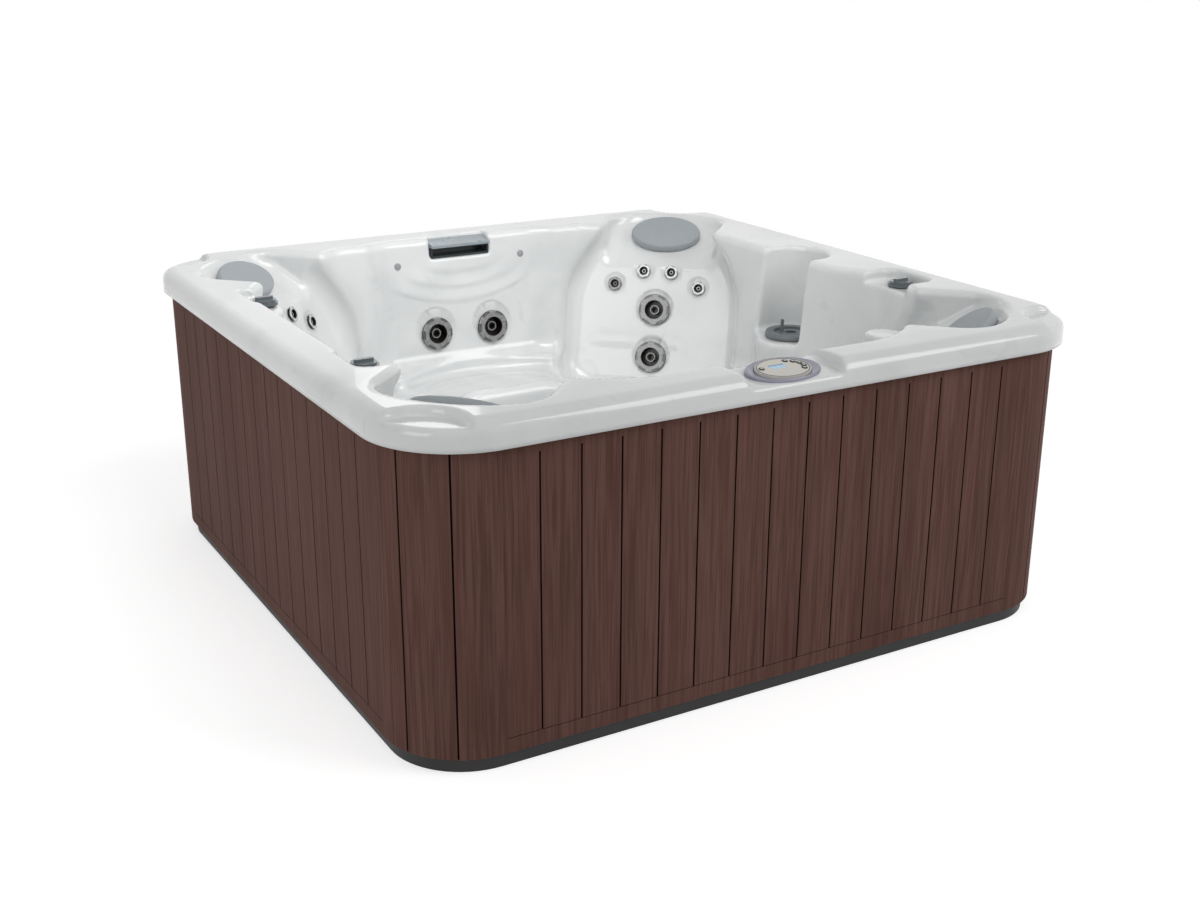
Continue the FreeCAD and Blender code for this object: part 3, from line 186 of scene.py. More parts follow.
# Jets, in plan from the axis out: spout bore, spout, black throat, inner edge of the notches, and the
# radius past which the ring's outer side is painted fully dark as shade
LARGE_FACE = (0.0135, 0.0170, 0.0345, 0.0475, 0.0545)
SMALL_FACE = (0.0045, 0.0065, 0.0155, 0.0205, 0.0215)
# Sinks about the jets: radius, how far their middle lies above the jet's, and depth
MIDDLE_MOAT = (0.072, 0.018, 0.044)
CORNER_MOAT = (0.066, 0.007, 0.014)
SMALL_MOAT = (0.037, 0.003, 0.006)
LARGE_SEAT, LARGE_HOLE, LARGE_MOAT_EDGE = 0.055, 0.049, 0.004
SMALL_SEAT, SMALL_HOLE, SMALL_MOAT_EDGE = 0.023, 0.020, 0.003
MOAT_COVE = 0.003
# Heights of the notch floors along the jets' axes; the faces below them are painted dark as shade
LARGE_NOTCH_FLOOR = 0.0103
SMALL_NOTCH_FLOOR = 0.0083
RING_GREY = 0.30
SMALL_JET_GREY = 0.68
# The one small jet with a darker, satin face
SATIN_JET = "small_jet_right_shoulder_two"


# Materials: small helpers

def material(name, **settings):
    """A new material, with values set on its shader's own sockets."""
    made = bpy.data.materials.new(name)
    made.use_nodes = True
    shader = made.node_tree.nodes["Principled BSDF"]
    for socket, value in settings.items():
        shader.inputs[socket.replace("_", " ")].default_value = value
    return made


def feed(made, socket, output):
    """Drive one of the shader's sockets from a node."""
    made.node_tree.links.new(output, made.node_tree.nodes["Principled BSDF"].inputs[socket])


def add(made, kind, inputs, **settings):
    """A node with its settings; each input is a value or another node's output."""
    new = made.node_tree.nodes.new(kind)
    for name, value in settings.items():
        setattr(new, name, value)
    for name, value in inputs.items():
        if isinstance(value, bpy.types.NodeSocket):
            made.node_tree.links.new(value, new.inputs[name])
        else:
            new.inputs[name].default_value = value
    return new


def vectors(made, operation, inputs):
    """The two outputs of vector arithmetic: a vector and a number."""
    return add(made, "ShaderNodeVectorMath", inputs, operation=operation).outputs


def place(made, stretch=(1, 1, 1)):
    """The point on the piece as it is at rest, stretched along each axis."""
    point = made.node_tree.nodes.new("ShaderNodeTexCoord").outputs["Object"]
    return vectors(made, "MULTIPLY", {0: point, 1: stretch})[0]


def along(made, axis):
    """One coordinate of that point."""
    return add(made, "ShaderNodeSeparateXYZ", {0: place(made)}).outputs[axis]


def noise(made, where, scale, detail=4.0, distortion=0.0):
    """Cloudy noise between zero and one."""
    inputs = {"Vector": where, "Scale": scale, "Detail": detail, "Distortion": distortion}
    return add(made, "ShaderNodeTexNoise", inputs).outputs["Fac"]


def spread(made, value, low, high, to_low=0.0, to_high=1.0):
    """The value, carried smoothly from one range to another."""
    inputs = {"Value": value, "From Min": low, "From Max": high, "To Min": to_low, "To Max": to_high}
    return add(made, "ShaderNodeMapRange", inputs, interpolation_type="SMOOTHSTEP").outputs["Result"]


def sums(made, operation, first, second=0.0):
    """Plain arithmetic on one or two numbers."""
    return add(made, "ShaderNodeMath", {0: first, 1: second}, operation=operation).outputs[0]


def opaque(colour):
    """A plain colour with full cover; a node's output stays as it is."""
    return (*colour, 1) if isinstance(colour, tuple) else colour


def mixed(made, share, first, second):
    """One colour turning into another by a share."""
    inputs = {0: share, 6: opaque(first), 7: opaque(second)}
    return add(made, "ShaderNodeMix", inputs, data_type="RGBA").outputs[2]


def bumped(made, height, distance):
    """Give the surface a fine relief."""
    feed(made, "Normal", add(made, "ShaderNodeBump", {"Height": height, "Distance": distance}).outputs[0])


def speckled(name, dark, light, rough, scale=24.0, grain=900.0, depth=0.00008, **settings):
    """Moulded plastic or paint: two near colours in soft patches, with a fine grain."""
    made = material(name, **settings)
    where = place(made)
    patches = noise(made, where, scale)
    feed(made, "Base Color", mixed(made, patches, dark, light))
    feed(made, "Roughness", spread(made, patches, 0.3, 0.7, rough - 0.03, rough + 0.03))
    bumped(made, noise(made, where, grain, 2.0), depth)
    return made


# Materials of the tub

def acrylic():
    """Glossy white acrylic with faint grey marbling."""
    made = material("acrylic", Coat_Weight=0.40, Coat_Roughness=0.02, IOR=1.45)
    where = place(made)
    clouds = noise(made, where, 2.2, 5.0, 1.2)
    veins = noise(made, where, 7.0, 6.0, 2.5)
    pale = mixed(made, spread(made, clouds, 0.42, 0.68), (0.79, 0.80, 0.80), (0.71, 0.725, 0.725))
    vein = spread(made, veins, 0.60, 0.75, 0.0, 0.35)
    feed(made, "Base Color", mixed(made, vein, pale, (0.63, 0.645, 0.645)))
    feed(made, "Roughness", spread(made, clouds, 0.3, 0.7, 0.10, 0.16))
    return made


def cabinet_board(name, slat, groove_shade):
    """Dark red-brown board with upright grain; slat numbers the boards, and the grooves between them are
    painted near black as shade.
    """
    made = material(name, Specular_IOR_Level=0.03)
    streaks = noise(made, place(made, (1, 1, 0.035)), 95.0, 5.0, 0.4)
    fibres = noise(made, place(made, (1, 1, 0.012)), 420.0, 3.0)
    knots = noise(made, place(made, (1, 1, 0.16)), 9.0, 3.0, 1.5)
    grain = sums(made, "ADD", sums(made, "MULTIPLY", streaks, 0.6), sums(made, "MULTIPLY", fibres, 0.4))
    tint = mixed(made, spread(made, grain, 0.36, 0.64), (0.112, 0.0545, 0.0435), (0.180, 0.0955, 0.0800))
    warm = mixed(made, spread(made, knots, 0.45, 0.75, 0.0, 0.5), tint, (0.148, 0.0720, 0.0575))
    boards = add(made, "ShaderNodeTexWhiteNoise", {"W": slat(made)}, noise_dimensions="1D")
    shade = spread(made, boards.outputs["Value"], 0.0, 1.0, 0.0, 0.22)
    board = mixed(made, shade, warm, (0.076, 0.0340, 0.0265))
    # Painted shade: near black inside the grooves between the boards.
    feed(made, "Base Color", mixed(made, groove_shade(made), board, (0.006, 0.003, 0.0025)))
    feed(made, "Roughness", spread(made, grain, 0.3, 0.7, 0.52, 0.66))
    bumped(made, grain, 0.0006)
    return made


def slat_number(axis):
    """Which slat a point is on, counted along X or Y."""
    def slat(made):
        return sums(made, "FLOOR", sums(made, "DIVIDE", along(made, axis), SLAT_PITCH))
    return slat


def groove_shade_mark(axis):
    """One inside the grooves of the flat sides that look along X or Y, where near black is painted as
    shade.
    """
    def groove_shade(made):
        reach = sums(made, "ABSOLUTE", along(made, axis))
        return spread(made, reach, CABINET_FACE - 0.0022, CABINET_FACE - 0.0012, 1.0, 0.0)
    return groove_shade


def corner_slat(made):
    """Which board a point of a rounded corner is on."""
    around = sums(made, "SUBTRACT", along(made, 0), along(made, 1))
    return sums(made, "FLOOR", sums(made, "MULTIPLY", around, 2.0))


def corner_groove_shade(made):
    """One inside the grooves of the rounded corners, by the distance from the corner's upright axis;
    painted shade goes there.
    """
    middle = CABINET_FACE - CABINET_CORNER
    squares = []
    for axis in (0, 1):
        leg = sums(made, "SUBTRACT", sums(made, "ABSOLUTE", along(made, axis)), middle)
        past = sums(made, "MAXIMUM", leg)
        squares.append(sums(made, "MULTIPLY", past, past))
    radius = sums(made, "SQRT", sums(made, "ADD", *squares))
    return spread(made, radius, CABINET_CORNER - 0.0022, CABINET_CORNER - 0.0012, 1.0, 0.0)


def from_axis(made, origin, axis):
    """A point's height along an axis, counted from its origin, and its distance from that axis."""
    offset = vectors(made, "SUBTRACT", {0: place(made), 1: origin})[0]
    height = vectors(made, "DOT_PRODUCT", {0: offset, 1: axis})[1]
    up = vectors(made, "SCALE", {0: axis, "Scale": height})[0]
    flat = vectors(made, "SUBTRACT", {0: offset, 1: up})[0]
    return height, vectors(made, "LENGTH", {0: flat})[1]


def jet_plastic(name, face, notch_floor, grey):
    """A jet's face: satin ring, black throat with a pale spout ring, and painted shade on the notch
    floors and on the ring's outer side.
    """
    made = material(f"{name}_finish", Metallic=0.25, Specular_IOR_Level=0.5)
    spout_bore, spout, bore, notch, edge = face
    height, radius = from_axis(made, JOINTS[name]["pos_m"], JOINTS[name]["axis"])
    throat = spread(made, radius, bore, bore + 0.0012, 1.0, 0.0)
    spout_ring = sums(made, "MULTIPLY", spread(made, radius, spout, spout + 0.0008, 1.0, 0.0),
                      spread(made, radius, spout_bore, spout_bore + 0.0008))
    dark = sums(made, "SUBTRACT", throat, spout_ring)
    # Painted shade: below the notch floor height, the notch floors go most of the way to near black and
    # the ring's outer side goes all the way.
    below = spread(made, height, notch_floor - 0.0006, notch_floor + 0.0008, 1.0, 0.0)
    notch_shade = sums(made, "MULTIPLY", below, spread(made, radius, notch, notch + 0.001))
    low = sums(made, "MULTIPLY", notch_shade, spread(made, radius, edge - 0.001, edge, 0.80, 1.0))
    patches = noise(made, place(made), 60.0, 2.0)
    deep = (grey * 0.90, grey * 0.91, grey * 0.91)
    pale = (grey * 1.1, grey * 1.1, grey * 1.1)
    metal = mixed(made, patches, deep, pale)
    # The throat's black and the painted shade share one near-black colour.
    feed(made, "Base Color", mixed(made, sums(made, "MAXIMUM", dark, low), metal, (0.010, 0.007, 0.005)))
    feed(made, "Roughness", spread(made, patches, 0.3, 0.7, 0.24, 0.34))
    return made


def button_plastic(name):
    """A pale button with a dark rim and dark sides."""
    made = material(f"{name}_finish", Specular_IOR_Level=0.4)
    low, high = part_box(name)
    _, radius = from_axis(made, (low + high) / 2, JOINTS[name]["axis"])
    patches = noise(made, place(made), 24.0)
    pale = mixed(made, patches, (0.50, 0.49, 0.46), (0.58, 0.57, 0.53))
    rim_share = spread(made, radius, BUTTON_RIM - 0.0004, BUTTON_RIM + 0.0004)
    feed(made, "Base Color", mixed(made, rim_share, pale, (0.036, 0.036, 0.043)))
    feed(made, "Roughness", spread(made, patches, 0.3, 0.7, 0.36, 0.44))
    return made


def pillow_foam():
    """Soft blue-grey foam with a closed, finely pebbled skin."""
    made = material("pillow_foam", Specular_IOR_Level=0.30, Sheen_Weight=0.08)
    where = place(made)
    patches = noise(made, where, 26.0)
    feed(made, "Base Color", mixed(made, patches, (0.345, 0.375, 0.395), (0.395, 0.425, 0.445)))
    feed(made, "Roughness", spread(made, patches, 0.3, 0.7, 0.46, 0.58))
    bumped(made, noise(made, where, 620.0, 3.0), 0.0004)
    return made


def display_glass():
    """A lit display window: pale blue with a fine grid of dots, and a dark strip along its far edge."""
    made = material("display_glass", Roughness=0.12, Coat_Weight=0.5)
    where = place(made)
    dots = add(made, "ShaderNodeTexChecker", {"Vector": where, "Scale": 900.0}).outputs["Fac"]
    low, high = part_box("display_window")
    fade = spread(made, along(made, 1), low.y, high.y)
    blue = mixed(made, fade, (0.48, 0.74, 0.95), (0.24, 0.55, 0.88))
    grid = mixed(made, sums(made, "MULTIPLY", dots, 0.12), blue, (0.20, 0.42, 0.70))
    strip = spread(made, along(made, 1), high.y - 0.0050, high.y - 0.0042)
    feed(made, "Base Color", mixed(made, strip, grid, (0.09, 0.14, 0.22)))
    return made


# Form of the shell. Each form gives a signed distance: below zero inside it, above zero outside.

def both(first, second, radius):
    """Inside both shapes, with the edge where they meet rounded off."""
    rounding = np.hypot(np.maximum(first + radius, 0), np.maximum(second + radius, 0))
    return np.minimum(np.maximum(first, second), -radius) + rounding


def joined(one, other, radius):
    """Inside either shape, with the inner edge where they meet filled round."""
    return -both(-one, -other, radius)


def cut(solid, hollow, radius):
    """A solid with a hollow taken out, the edge of the cut rounded off."""
    return both(solid, -hollow, radius)


def rounded_box(across, up, half_across, half_up, radius):
    """Distance to a rounded rectangle."""
    u = np.abs(across) - half_across + radius
    v = np.abs(up) - half_up + radius
    return np.minimum(np.maximum(u, v), 0) + np.hypot(np.maximum(u, 0), np.maximum(v, 0)) - radius


def oval_distance(across, up, half_across, half_up):
    """Rough distance to an oval, true along its short axis."""
    return (np.hypot(across / half_across, up / half_up) - 1) * half_up


def in_frame(points, axes):
    """Points in a frame's own coordinates; the frame is a 4 by 4 matrix."""
    rows = np.array(axes.inverted())
    x, y, z = points
    return [rows[i, 0] * x + rows[i, 1] * y + rows[i, 2] * z + rows[i, 3] for i in range(3)]


def frame_at(origin, x_axis, y_axis, z_axis):
    """A 4 by 4 matrix from an origin and three axes."""
    columns = (x_axis, y_axis, z_axis, origin)
    return Matrix([[column[row] for column in columns] for row in range(3)] + [[0, 0, 0, 1]])


def corner_frame(corner, lean, reach, level):
    """A frame across a corner: X sideways, Y up the slope, Z towards the middle of the tub."""
    side, depth = CORNERS[corner]
    outward = Vector((side, depth, 0)).normalized()
    sideways = Vector((depth, -side, 0)).normalized()
    up_slope = outward * math.sin(lean) + Vector((0, 0, math.cos(lean)))
    inward = outward * -math.cos(lean) + Vector((0, 0, math.sin(lean)))
    return frame_at(outward * reach + Vector((0, 0, level)), sideways, up_slope, inward)


def pillow_frame(corner):
    """The frame of a pillow's back."""
    face = corner_frame(corner, PILLOW_LEAN, PILLOW_REACH, PILLOW_LEVEL)
    return face @ Matrix.Translation((0, 0, -PILLOW_THICKNESS))


def panel_frame():
    """The frame that the control panel lies on."""
    return Matrix.Translation(PANEL_PLACE) @ Matrix.Rotation(PANEL_TILT, 4, "X")


def jet_frame(name):
    """A jet's frame: Z along its axis into the tub, Y up the wall."""
    axis = Vector(JOINTS[name]["axis"]).normalized()
    up = (Vector((0, 0, 1)) - axis * axis.z).normalized()
    return frame_at(Vector(JOINTS[name]["pos_m"]), up.cross(axis), up, axis)


def rim(points):
    """The block that the tub is hollowed from: a rounded square with a rounded top edge."""
    x, y, z = points
    plan = rounded_box(x, y, LIP_HALF, LIP_HALF, LIP_CORNER)
    return both(plan, z - LIP_TOP, LIP_ROUND)


def rib_bulge(x, z):
    """How far the ribs stand out of the back wall."""
    bulge = 0
    for level, half in RIBS:
        above = z - level - x * x / (2 * RIB_CURVE)
        lower = np.clip(1 + above / RIB_EDGE, 0, 1)
        upper = np.clip(1 - above / RIB_FADE, 0, 1)
        ends = np.clip((half + RIB_END / 2 - np.abs(x)) / RIB_END, 0, 1)
        bulge = bulge + RIB_HEIGHT * np.minimum(lower, upper) * ends * ends * (3 - 2 * ends)
    return bulge


def corbel(points, middle, top, reach, drop):
    """Half an egg that hangs below a ledge and swells out of the basin's wall."""
    x, y, z = points
    out = np.hypot(x - middle[0], y - middle[1])
    egg = (np.hypot(out / reach, np.maximum(top - z, 0) / drop) - 1) * reach
    return both(egg, z - top, CORBEL_ROUND)


def corbels(points):
    """The corbels under the filter niche and under the two left knobs."""
    form = corbel(points, NICHE_MIDDLE, NICHE_MIDDLE.z, *NICHE_CORBEL)
    for name in KNOBS:
        x, y, _ = JOINTS[name]["pos_m"]
        if x < 0:
            middle = (x - CORBEL_SET_BACK, y)
            form = np.minimum(form, corbel(points, middle, LEDGE_FLOOR, *LEDGE_CORBEL))
    return form


def lug(points):
    """A round lug that stands out of the front wall just below the rim."""
    x, y, z = points
    plan = np.hypot(x - LUG_PLACE[0], y - LUG_PLACE[1]) - LUG_RADIUS
    column = both(plan, LUG_TOP - LUG_HEIGHT - z, LUG_FOOT)
    return both(column, z - LUG_TOP, LUG_ROUND)


def basin(points):
    """The wide hollow above the seats, with ribs, swells and corbels left standing in it."""
    x, y, z = points
    lean = (z - SEAT_LEVEL) * math.tan(DRAFT)
    inside = (np.abs(x) + np.abs(y)) / math.sqrt(2) - BASIN_CORNER - lean
    for towards_x, towards_y, reach in BASIN_WALLS:
        inside = both(inside, towards_x * x + towards_y * y - reach - lean, BASIN_ROUND)
    inside = both(inside, y - BASIN_BACK - lean + rib_bulge(x, z), BASIN_ROUND)
    swell = np.hypot(np.abs(x) - SWELL_X, y - BASIN_BACK - lean - SWELL_SUNK) - SWELL_RADIUS
    inside = cut(inside, swell, SWELL_EDGE)
    inside = cut(inside, corbels(points), CORBEL_EDGE)
    return both(inside, SEAT_LEVEL - z, SEAT_COVE)


def seat_pan(points, half_length, half_width, depth, radius):
    """An oval dish in the middle seat."""
    x, y, z = points
    return both(oval_distance(x, y - PAN_Y, half_length, half_width), SEAT_LEVEL - depth - z, radius)


def footwell(points):
    """The square well between the seats."""
    x, y, z = points
    plan = rounded_box(x, y, FOOTWELL_HALF, FOOTWELL_HALF, FOOTWELL_ROUND)
    return both(plan, FOOTWELL_FLOOR - z, FOOTWELL_COVE)


def alcove(points, corner):
    """A corner seat's arched hollow with its bucket."""
    backrest = corner_frame(corner, BACKREST_LEAN, BACKREST_REACH, BACKREST_LEVEL)
    across, up, inward = in_frame(points, backrest)
    rise = (ARCH_MIDDLE - BACKREST_LEVEL) / math.cos(BACKREST_LEAN)
    fall = (BACKREST_LEVEL - BUCKET_LEVEL) / math.cos(BACKREST_LEAN)
    arch = np.hypot(across, up - rise) - ARCH_RADIUS
    legs = both(np.abs(across) - ARCH_RADIUS, -fall - up, BUCKET_ROUND)
    inside = both(np.where(up > rise, arch, legs), -inward, BACKREST_COVE)
    return np.maximum(inside, inward - 2 * ARCH_RADIUS)


def pillow_seat(points, corner):
    """The pad that a pillow lies on, and the slope from it down to the backrest."""
    across, up, inward = in_frame(points, pillow_frame(corner))
    half_length = PILLOW_HALF_LENGTH + PILLOW_SIDE_MARGIN
    half_width = PILLOW_HALF_WIDTH + PILLOW_MARGIN
    oval = oval_distance(across, np.maximum(up, 0), half_length, half_width)
    plan = np.maximum(oval, -2 * PILLOW_HALF_WIDTH - up)
    return np.maximum(both(plan, -inward, PILLOW_SEAT_COVE), inward - 2 * PILLOW_HALF_LENGTH)


def bench(points):
    """The round scoop of the bench on the right, wider towards the top."""
    x, y, z = points
    flare = (z - SEAT_LEVEL) * BENCH_FLARE
    plan = np.hypot(x - BENCH_MIDDLE[0], y - BENCH_MIDDLE[1]) - BENCH_RADIUS - flare
    return both(plan, SEAT_LEVEL - z, SEAT_COVE)


def niche(points):
    """The filter's niche: round at the back, open to the basin."""
    x, y, z = points
    plan = np.hypot(np.maximum(x - NICHE_MIDDLE.x, 0), y - NICHE_MIDDLE.y) - NICHE_RADIUS
    mouth = NICHE_MIDDLE.x - NICHE_RADIUS - x
    return both(np.maximum(plan, mouth), NICHE_MIDDLE.z - z, NICHE_COVE)


def corner_shelf(points):
    """The four dropped corners of the rim."""
    x, y, z = points
    plan = np.hypot(np.abs(x) - SHELF_PLACE, np.abs(y) - SHELF_PLACE) - SHELF_RADIUS
    return both(plan, LIP_TOP - SHELF_DROP - z, RIM_COVE)


def knob_ledge(points, name):
    """The recess in the rim that a knob stands in, open to the basin."""
    x, y, z = points
    knob_x, knob_y, _ = JOINTS[name]["pos_m"]
    outward = (x - knob_x) * math.copysign(1, knob_x)
    middle = (LEDGE_OUTWARD - LEDGE_INWARD) / 2
    half = (LEDGE_OUTWARD + LEDGE_INWARD) / 2
    plan = rounded_box(outward - middle, y - knob_y, half, LEDGE_HALF, LEDGE_ROUND)
    return both(plan, LEDGE_FLOOR - z, RIM_COVE)


def panel_scoop(points):
    """The tilted place in the front rim that the control panel lies in."""
    across, up_slope, up = in_frame(points, panel_frame())
    middle = (SCOOP_BACK - SCOOP_FRONT) / 2
    half = (SCOOP_BACK + SCOOP_FRONT) / 2
    plan = rounded_box(across, up_slope - middle, SCOOP_HALF, half, SCOOP_ROUND)
    return both(plan, -up, RIM_COVE)


def waterfall_notch(points):
    """The notch in the back rim round the waterfall's spout."""
    x, y, z = points
    low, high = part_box("waterfall_spout")
    front = low.y - LIP_ROUND
    middle = (front + high.y) / 2
    half = (high.y - front) / 2
    plan = rounded_box(x, y - middle, high.x + NOTCH_MARGIN, half, NOTCH_CORNER)
    return both(plan, low.z - z, RIM_COVE)


def lug_dish(points):
    """The shallow round dish in the lug's top."""
    x, y, z = points
    plan = np.hypot(x - LUG_PLACE[0], y - LUG_PLACE[1]) - LUG_DISH_RADIUS
    return both(plan, LUG_TOP - LUG_DISH_DEPTH - z, LUG_DISH_EDGE)


def jet_moat(points, name, seat, radius, rise, depth):
    """A round sink about a jet's seat, set higher than the jet and deepest above it."""
    across, up, inward = in_frame(points, jet_frame(name))
    share = np.clip((up + radius - rise) / (2 * radius), 0.1, 1)
    sink = both(np.hypot(across, up - rise) - radius, -depth * share - inward, MOAT_COVE)
    return np.maximum(sink, seat - np.hypot(across, up))


def shell_solid(points):
    """The tub's block with every hollow taken out and the lug put on."""
    solid = cut(rim(points), basin(points), BASIN_EDGE)
    for pan in PANS:
        solid = cut(solid, seat_pan(points, *pan), PAN_EDGE)
    solid = cut(solid, footwell(points), FOOTWELL_EDGE)
    for corner in CORNERS:
        solid = cut(solid, alcove(points, corner), ALCOVE_EDGE)
    solid = cut(solid, bench(points), BENCH_EDGE)
    solid = cut(solid, niche(points), NICHE_EDGE)
    for corner in CORNERS:
        solid = cut(solid, pillow_seat(points, corner), PILLOW_SEAT_EDGE)
    solid = cut(solid, corner_shelf(points), SHELF_EDGE)
    for name in KNOBS:
        solid = cut(solid, knob_ledge(points, name), LEDGE_EDGE)
    solid = cut(solid, panel_scoop(points), SCOOP_EDGE)
    solid = cut(solid, waterfall_notch(points), NOTCH_EDGE)
    solid = joined(solid, lug(points), LUG_DROP)
    return cut(solid, lug_dish(points), LUG_DISH_EDGE)


def dished_solid(points):
    """The shell's solid with the sinks about its jets."""
    solid = shell_solid(points)
    for name in LARGE_JETS:
        moat = MIDDLE_MOAT if "middle" in name else CORNER_MOAT
        solid = cut(solid, jet_moat(points, name, LARGE_SEAT, *moat), LARGE_MOAT_EDGE)
    for name in SMALL_JETS:
        solid = cut(solid, jet_moat(points, name, SMALL_SEAT, *SMALL_MOAT), SMALL_MOAT_EDGE)
    return solid


# From the signed distance to a mesh

GRID = 0.0085
HOLE_DEPTH = 0.03
CELL_CORNERS = list(itertools.product((0, 1), repeat=3))
CELL_EDGES = [(a, b) for a, b in itertools.combinations(range(8), 2)
              if sum(abs(i - j) for i, j in zip(CELL_CORNERS[a], CELL_CORNERS[b])) == 1]


def sample(form, low, high):
    """The form's signed distance on an even grid between two corners."""
    axes = [np.arange(start, end, GRID) for start, end in zip(low, high)]
    slabs = []
    for x in axes[0]:
        y, z = np.meshgrid(axes[1], axes[2], indexing="ij")
        slabs.append(form((np.full_like(y, x), y, z)).astype(np.float32))
    return np.stack(slabs)


def surface_net(field, low):
    """A point in each grid cell that the surface crosses, and a quad round each crossed grid edge."""
    inside = field < 0
    size = [count - 1 for count in field.shape]
    windows = [tuple(slice(c, c + n) for c, n in zip(corner, size)) for corner in CELL_CORNERS]
    filled = sum(inside[window].astype(np.int8) for window in windows)
    crossed = (filled > 0) & (filled < 8)
    cells = np.argwhere(crossed)
    values = np.stack([field[window][crossed] for window in windows], axis=1)
    total = np.zeros((len(cells), 3))
    count = np.zeros((len(cells), 1))
    for a, b in CELL_EDGES:
        crosses = (values[:, a] < 0) != (values[:, b] < 0)
        fall = np.where(crosses, values[:, a] - values[:, b], 1)
        share = np.where(crosses, values[:, a] / fall, 0)[:, None]
        start, end = np.array(CELL_CORNERS[a]), np.array(CELL_CORNERS[b])
        total += crosses[:, None] * (start + share * (end - start))
        count += crosses[:, None]
    points = np.array(low) + (cells + total / count) * GRID
    number = np.full(size, -1)
    number[crossed] = np.arange(len(cells))
    return points, net_quads(inside, number)


def net_quads(inside, number):
    """Quads through the numbered cells round every grid edge whose ends differ."""
    quads = []
    for axis in range(3):
        one, two = (axis + 1) % 3, (axis + 2) % 3
        ahead = np.moveaxis(inside, (axis, one, two), (0, 1, 2))
        cells = np.moveaxis(number, (axis, one, two), (0, 1, 2))
        start, end = ahead[:-1, 1:-1, 1:-1], ahead[1:, 1:-1, 1:-1]
        ring = [cells[:, :-1, :-1], cells[:, 1:, :-1], cells[:, 1:, 1:], cells[:, :-1, 1:]]
        leaving = start & ~end
        entering = ~start & end
        quads.append(np.stack([part[leaving] for part in ring], axis=1))
        quads.append(np.stack([part[entering] for part in reversed(ring)], axis=1))
    return np.concatenate(quads)


def slope(form, points, step=0.0004):
    """Which way a form's signed distance grows at each point."""
    columns = []
    for axis in range(3):
        ahead, behind = points.copy(), points.copy()
        ahead[:, axis] += step
        behind[:, axis] -= step
        columns.append((form(ahead.T) - form(behind.T)) / (2 * step))
    return np.stack(columns, axis=1)


def onto_surface(form, points, rounds=3):
    """Points moved along the slope until they lie on the form's surface."""
    for _ in range(rounds):
        uphill = slope(form, points)
        steepness = np.maximum((uphill ** 2).sum(axis=1), 0.05)
        step = np.clip(form(points.T) / steepness, -GRID / 2, GRID / 2)
        points = points - uphill * step[:, None]
    return points


def opened(quads, marked):
    """Quads left when those that touch the marked points are taken away, and the new edge's points."""
    touched = marked[quads].any(axis=1)
    edge = np.intersect1d(quads[touched], quads[~touched])
    return quads[~touched], edge


def round_hole(points, quads, axes, radius):
    """Open a round hole about a frame's Z axis, its edge drawn onto the circle."""
    across, along_y, up = in_frame(points.T, axes)
    reach = np.hypot(across, along_y)
    near = np.abs(up) < HOLE_DEPTH
    quads, edge = opened(quads, near & (reach < radius))
    middle = np.array(axes.translation) + up[edge, None] * np.array(axes.col[2])[:3]
    points[edge] = middle + (points[edge] - middle) * (radius / reach[edge])[:, None]
    return quads


def lip_return(points, quads):
    """Turn the lip's lower edge inwards and up, as thick as the skin."""
    ends = np.sort(np.concatenate([quads[:, [i, (i + 1) % 4]] for i in range(4)]), axis=1)
    pairs, uses = np.unique(ends, axis=0, return_counts=True)
    edges = pairs[(uses == 1) & (points[pairs, 2] == LIP_BOTTOM).all(axis=1)]
    directed = {tuple(pair) for i in range(4) for pair in quads[:, [i, (i + 1) % 4]].tolist()}
    loop = np.unique(edges)
    outward = slope(rim, points[loop])
    inner = points[loop] - outward * SKIN
    raised = inner + (0, 0, 2 * SKIN)
    spot = {vertex: index for index, vertex in enumerate(loop.tolist())}
    base, top = len(points), len(points) + len(loop)
    strip = []
    for a, b in edges.tolist():
        if (a, b) in directed:
            a, b = b, a
        strip.append((a, b, base + spot[b], base + spot[a]))
        strip.append((base + spot[a], base + spot[b], top + spot[b], top + spot[a]))
    return np.concatenate([points, inner, raised]), np.concatenate([quads, np.array(strip)])


def mesh_piece(name, points, faces, finish):
    """A smooth-shaded piece of the tub's body."""
    mesh = bpy.data.meshes.new(name)
    mesh.from_pydata([tuple(point) for point in points], [], [tuple(face) for face in faces])
    mesh.polygons.foreach_set("use_smooth", [True] * len(mesh.polygons))
    mesh.materials.append(finish)
    piece = bpy.data.objects.new(name, mesh)
    bpy.context.scene.collection.objects.link(piece)
    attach(piece, "tub")
    return piece


def make_shell():
    """The visible skin of the acrylic shell, open where the jets and the filter sit."""
    low = np.array([-LIP_HALF - 2 * GRID, -LIP_HALF - 2 * GRID, FOOTWELL_FLOOR - 2 * GRID])
    high = np.array([LIP_HALF + 3 * GRID, LIP_HALF + 3 * GRID, LIP_TOP + 3 * GRID])
    points, quads = surface_net(sample(shell_solid, low, high), low)
    points = onto_surface(dished_solid, points)
    skirt = (points[:, 2] < LIP_BOTTOM) & (rim(points.T) > -SKIN)
    quads, edge = opened(quads, skirt)
    points[edge, 2] = LIP_BOTTOM
    for name in LARGE_JETS:
        quads = round_hole(points, quads, jet_frame(name), LARGE_HOLE)
    for name in SMALL_JETS:
        quads = round_hole(points, quads, jet_frame(name), SMALL_HOLE)
    quads = round_hole(points, quads, Matrix.Translation(NICHE_MIDDLE), NICHE_HOLE)
    points, quads = lip_return(points, quads)
    used, renumbered = np.unique(quads, return_inverse=True)
    faces = renumbered.reshape(quads.shape)
    shell = mesh_piece("shell_skin", points[used], faces, acrylic())
    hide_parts("acrylic_shell")


# Pillows

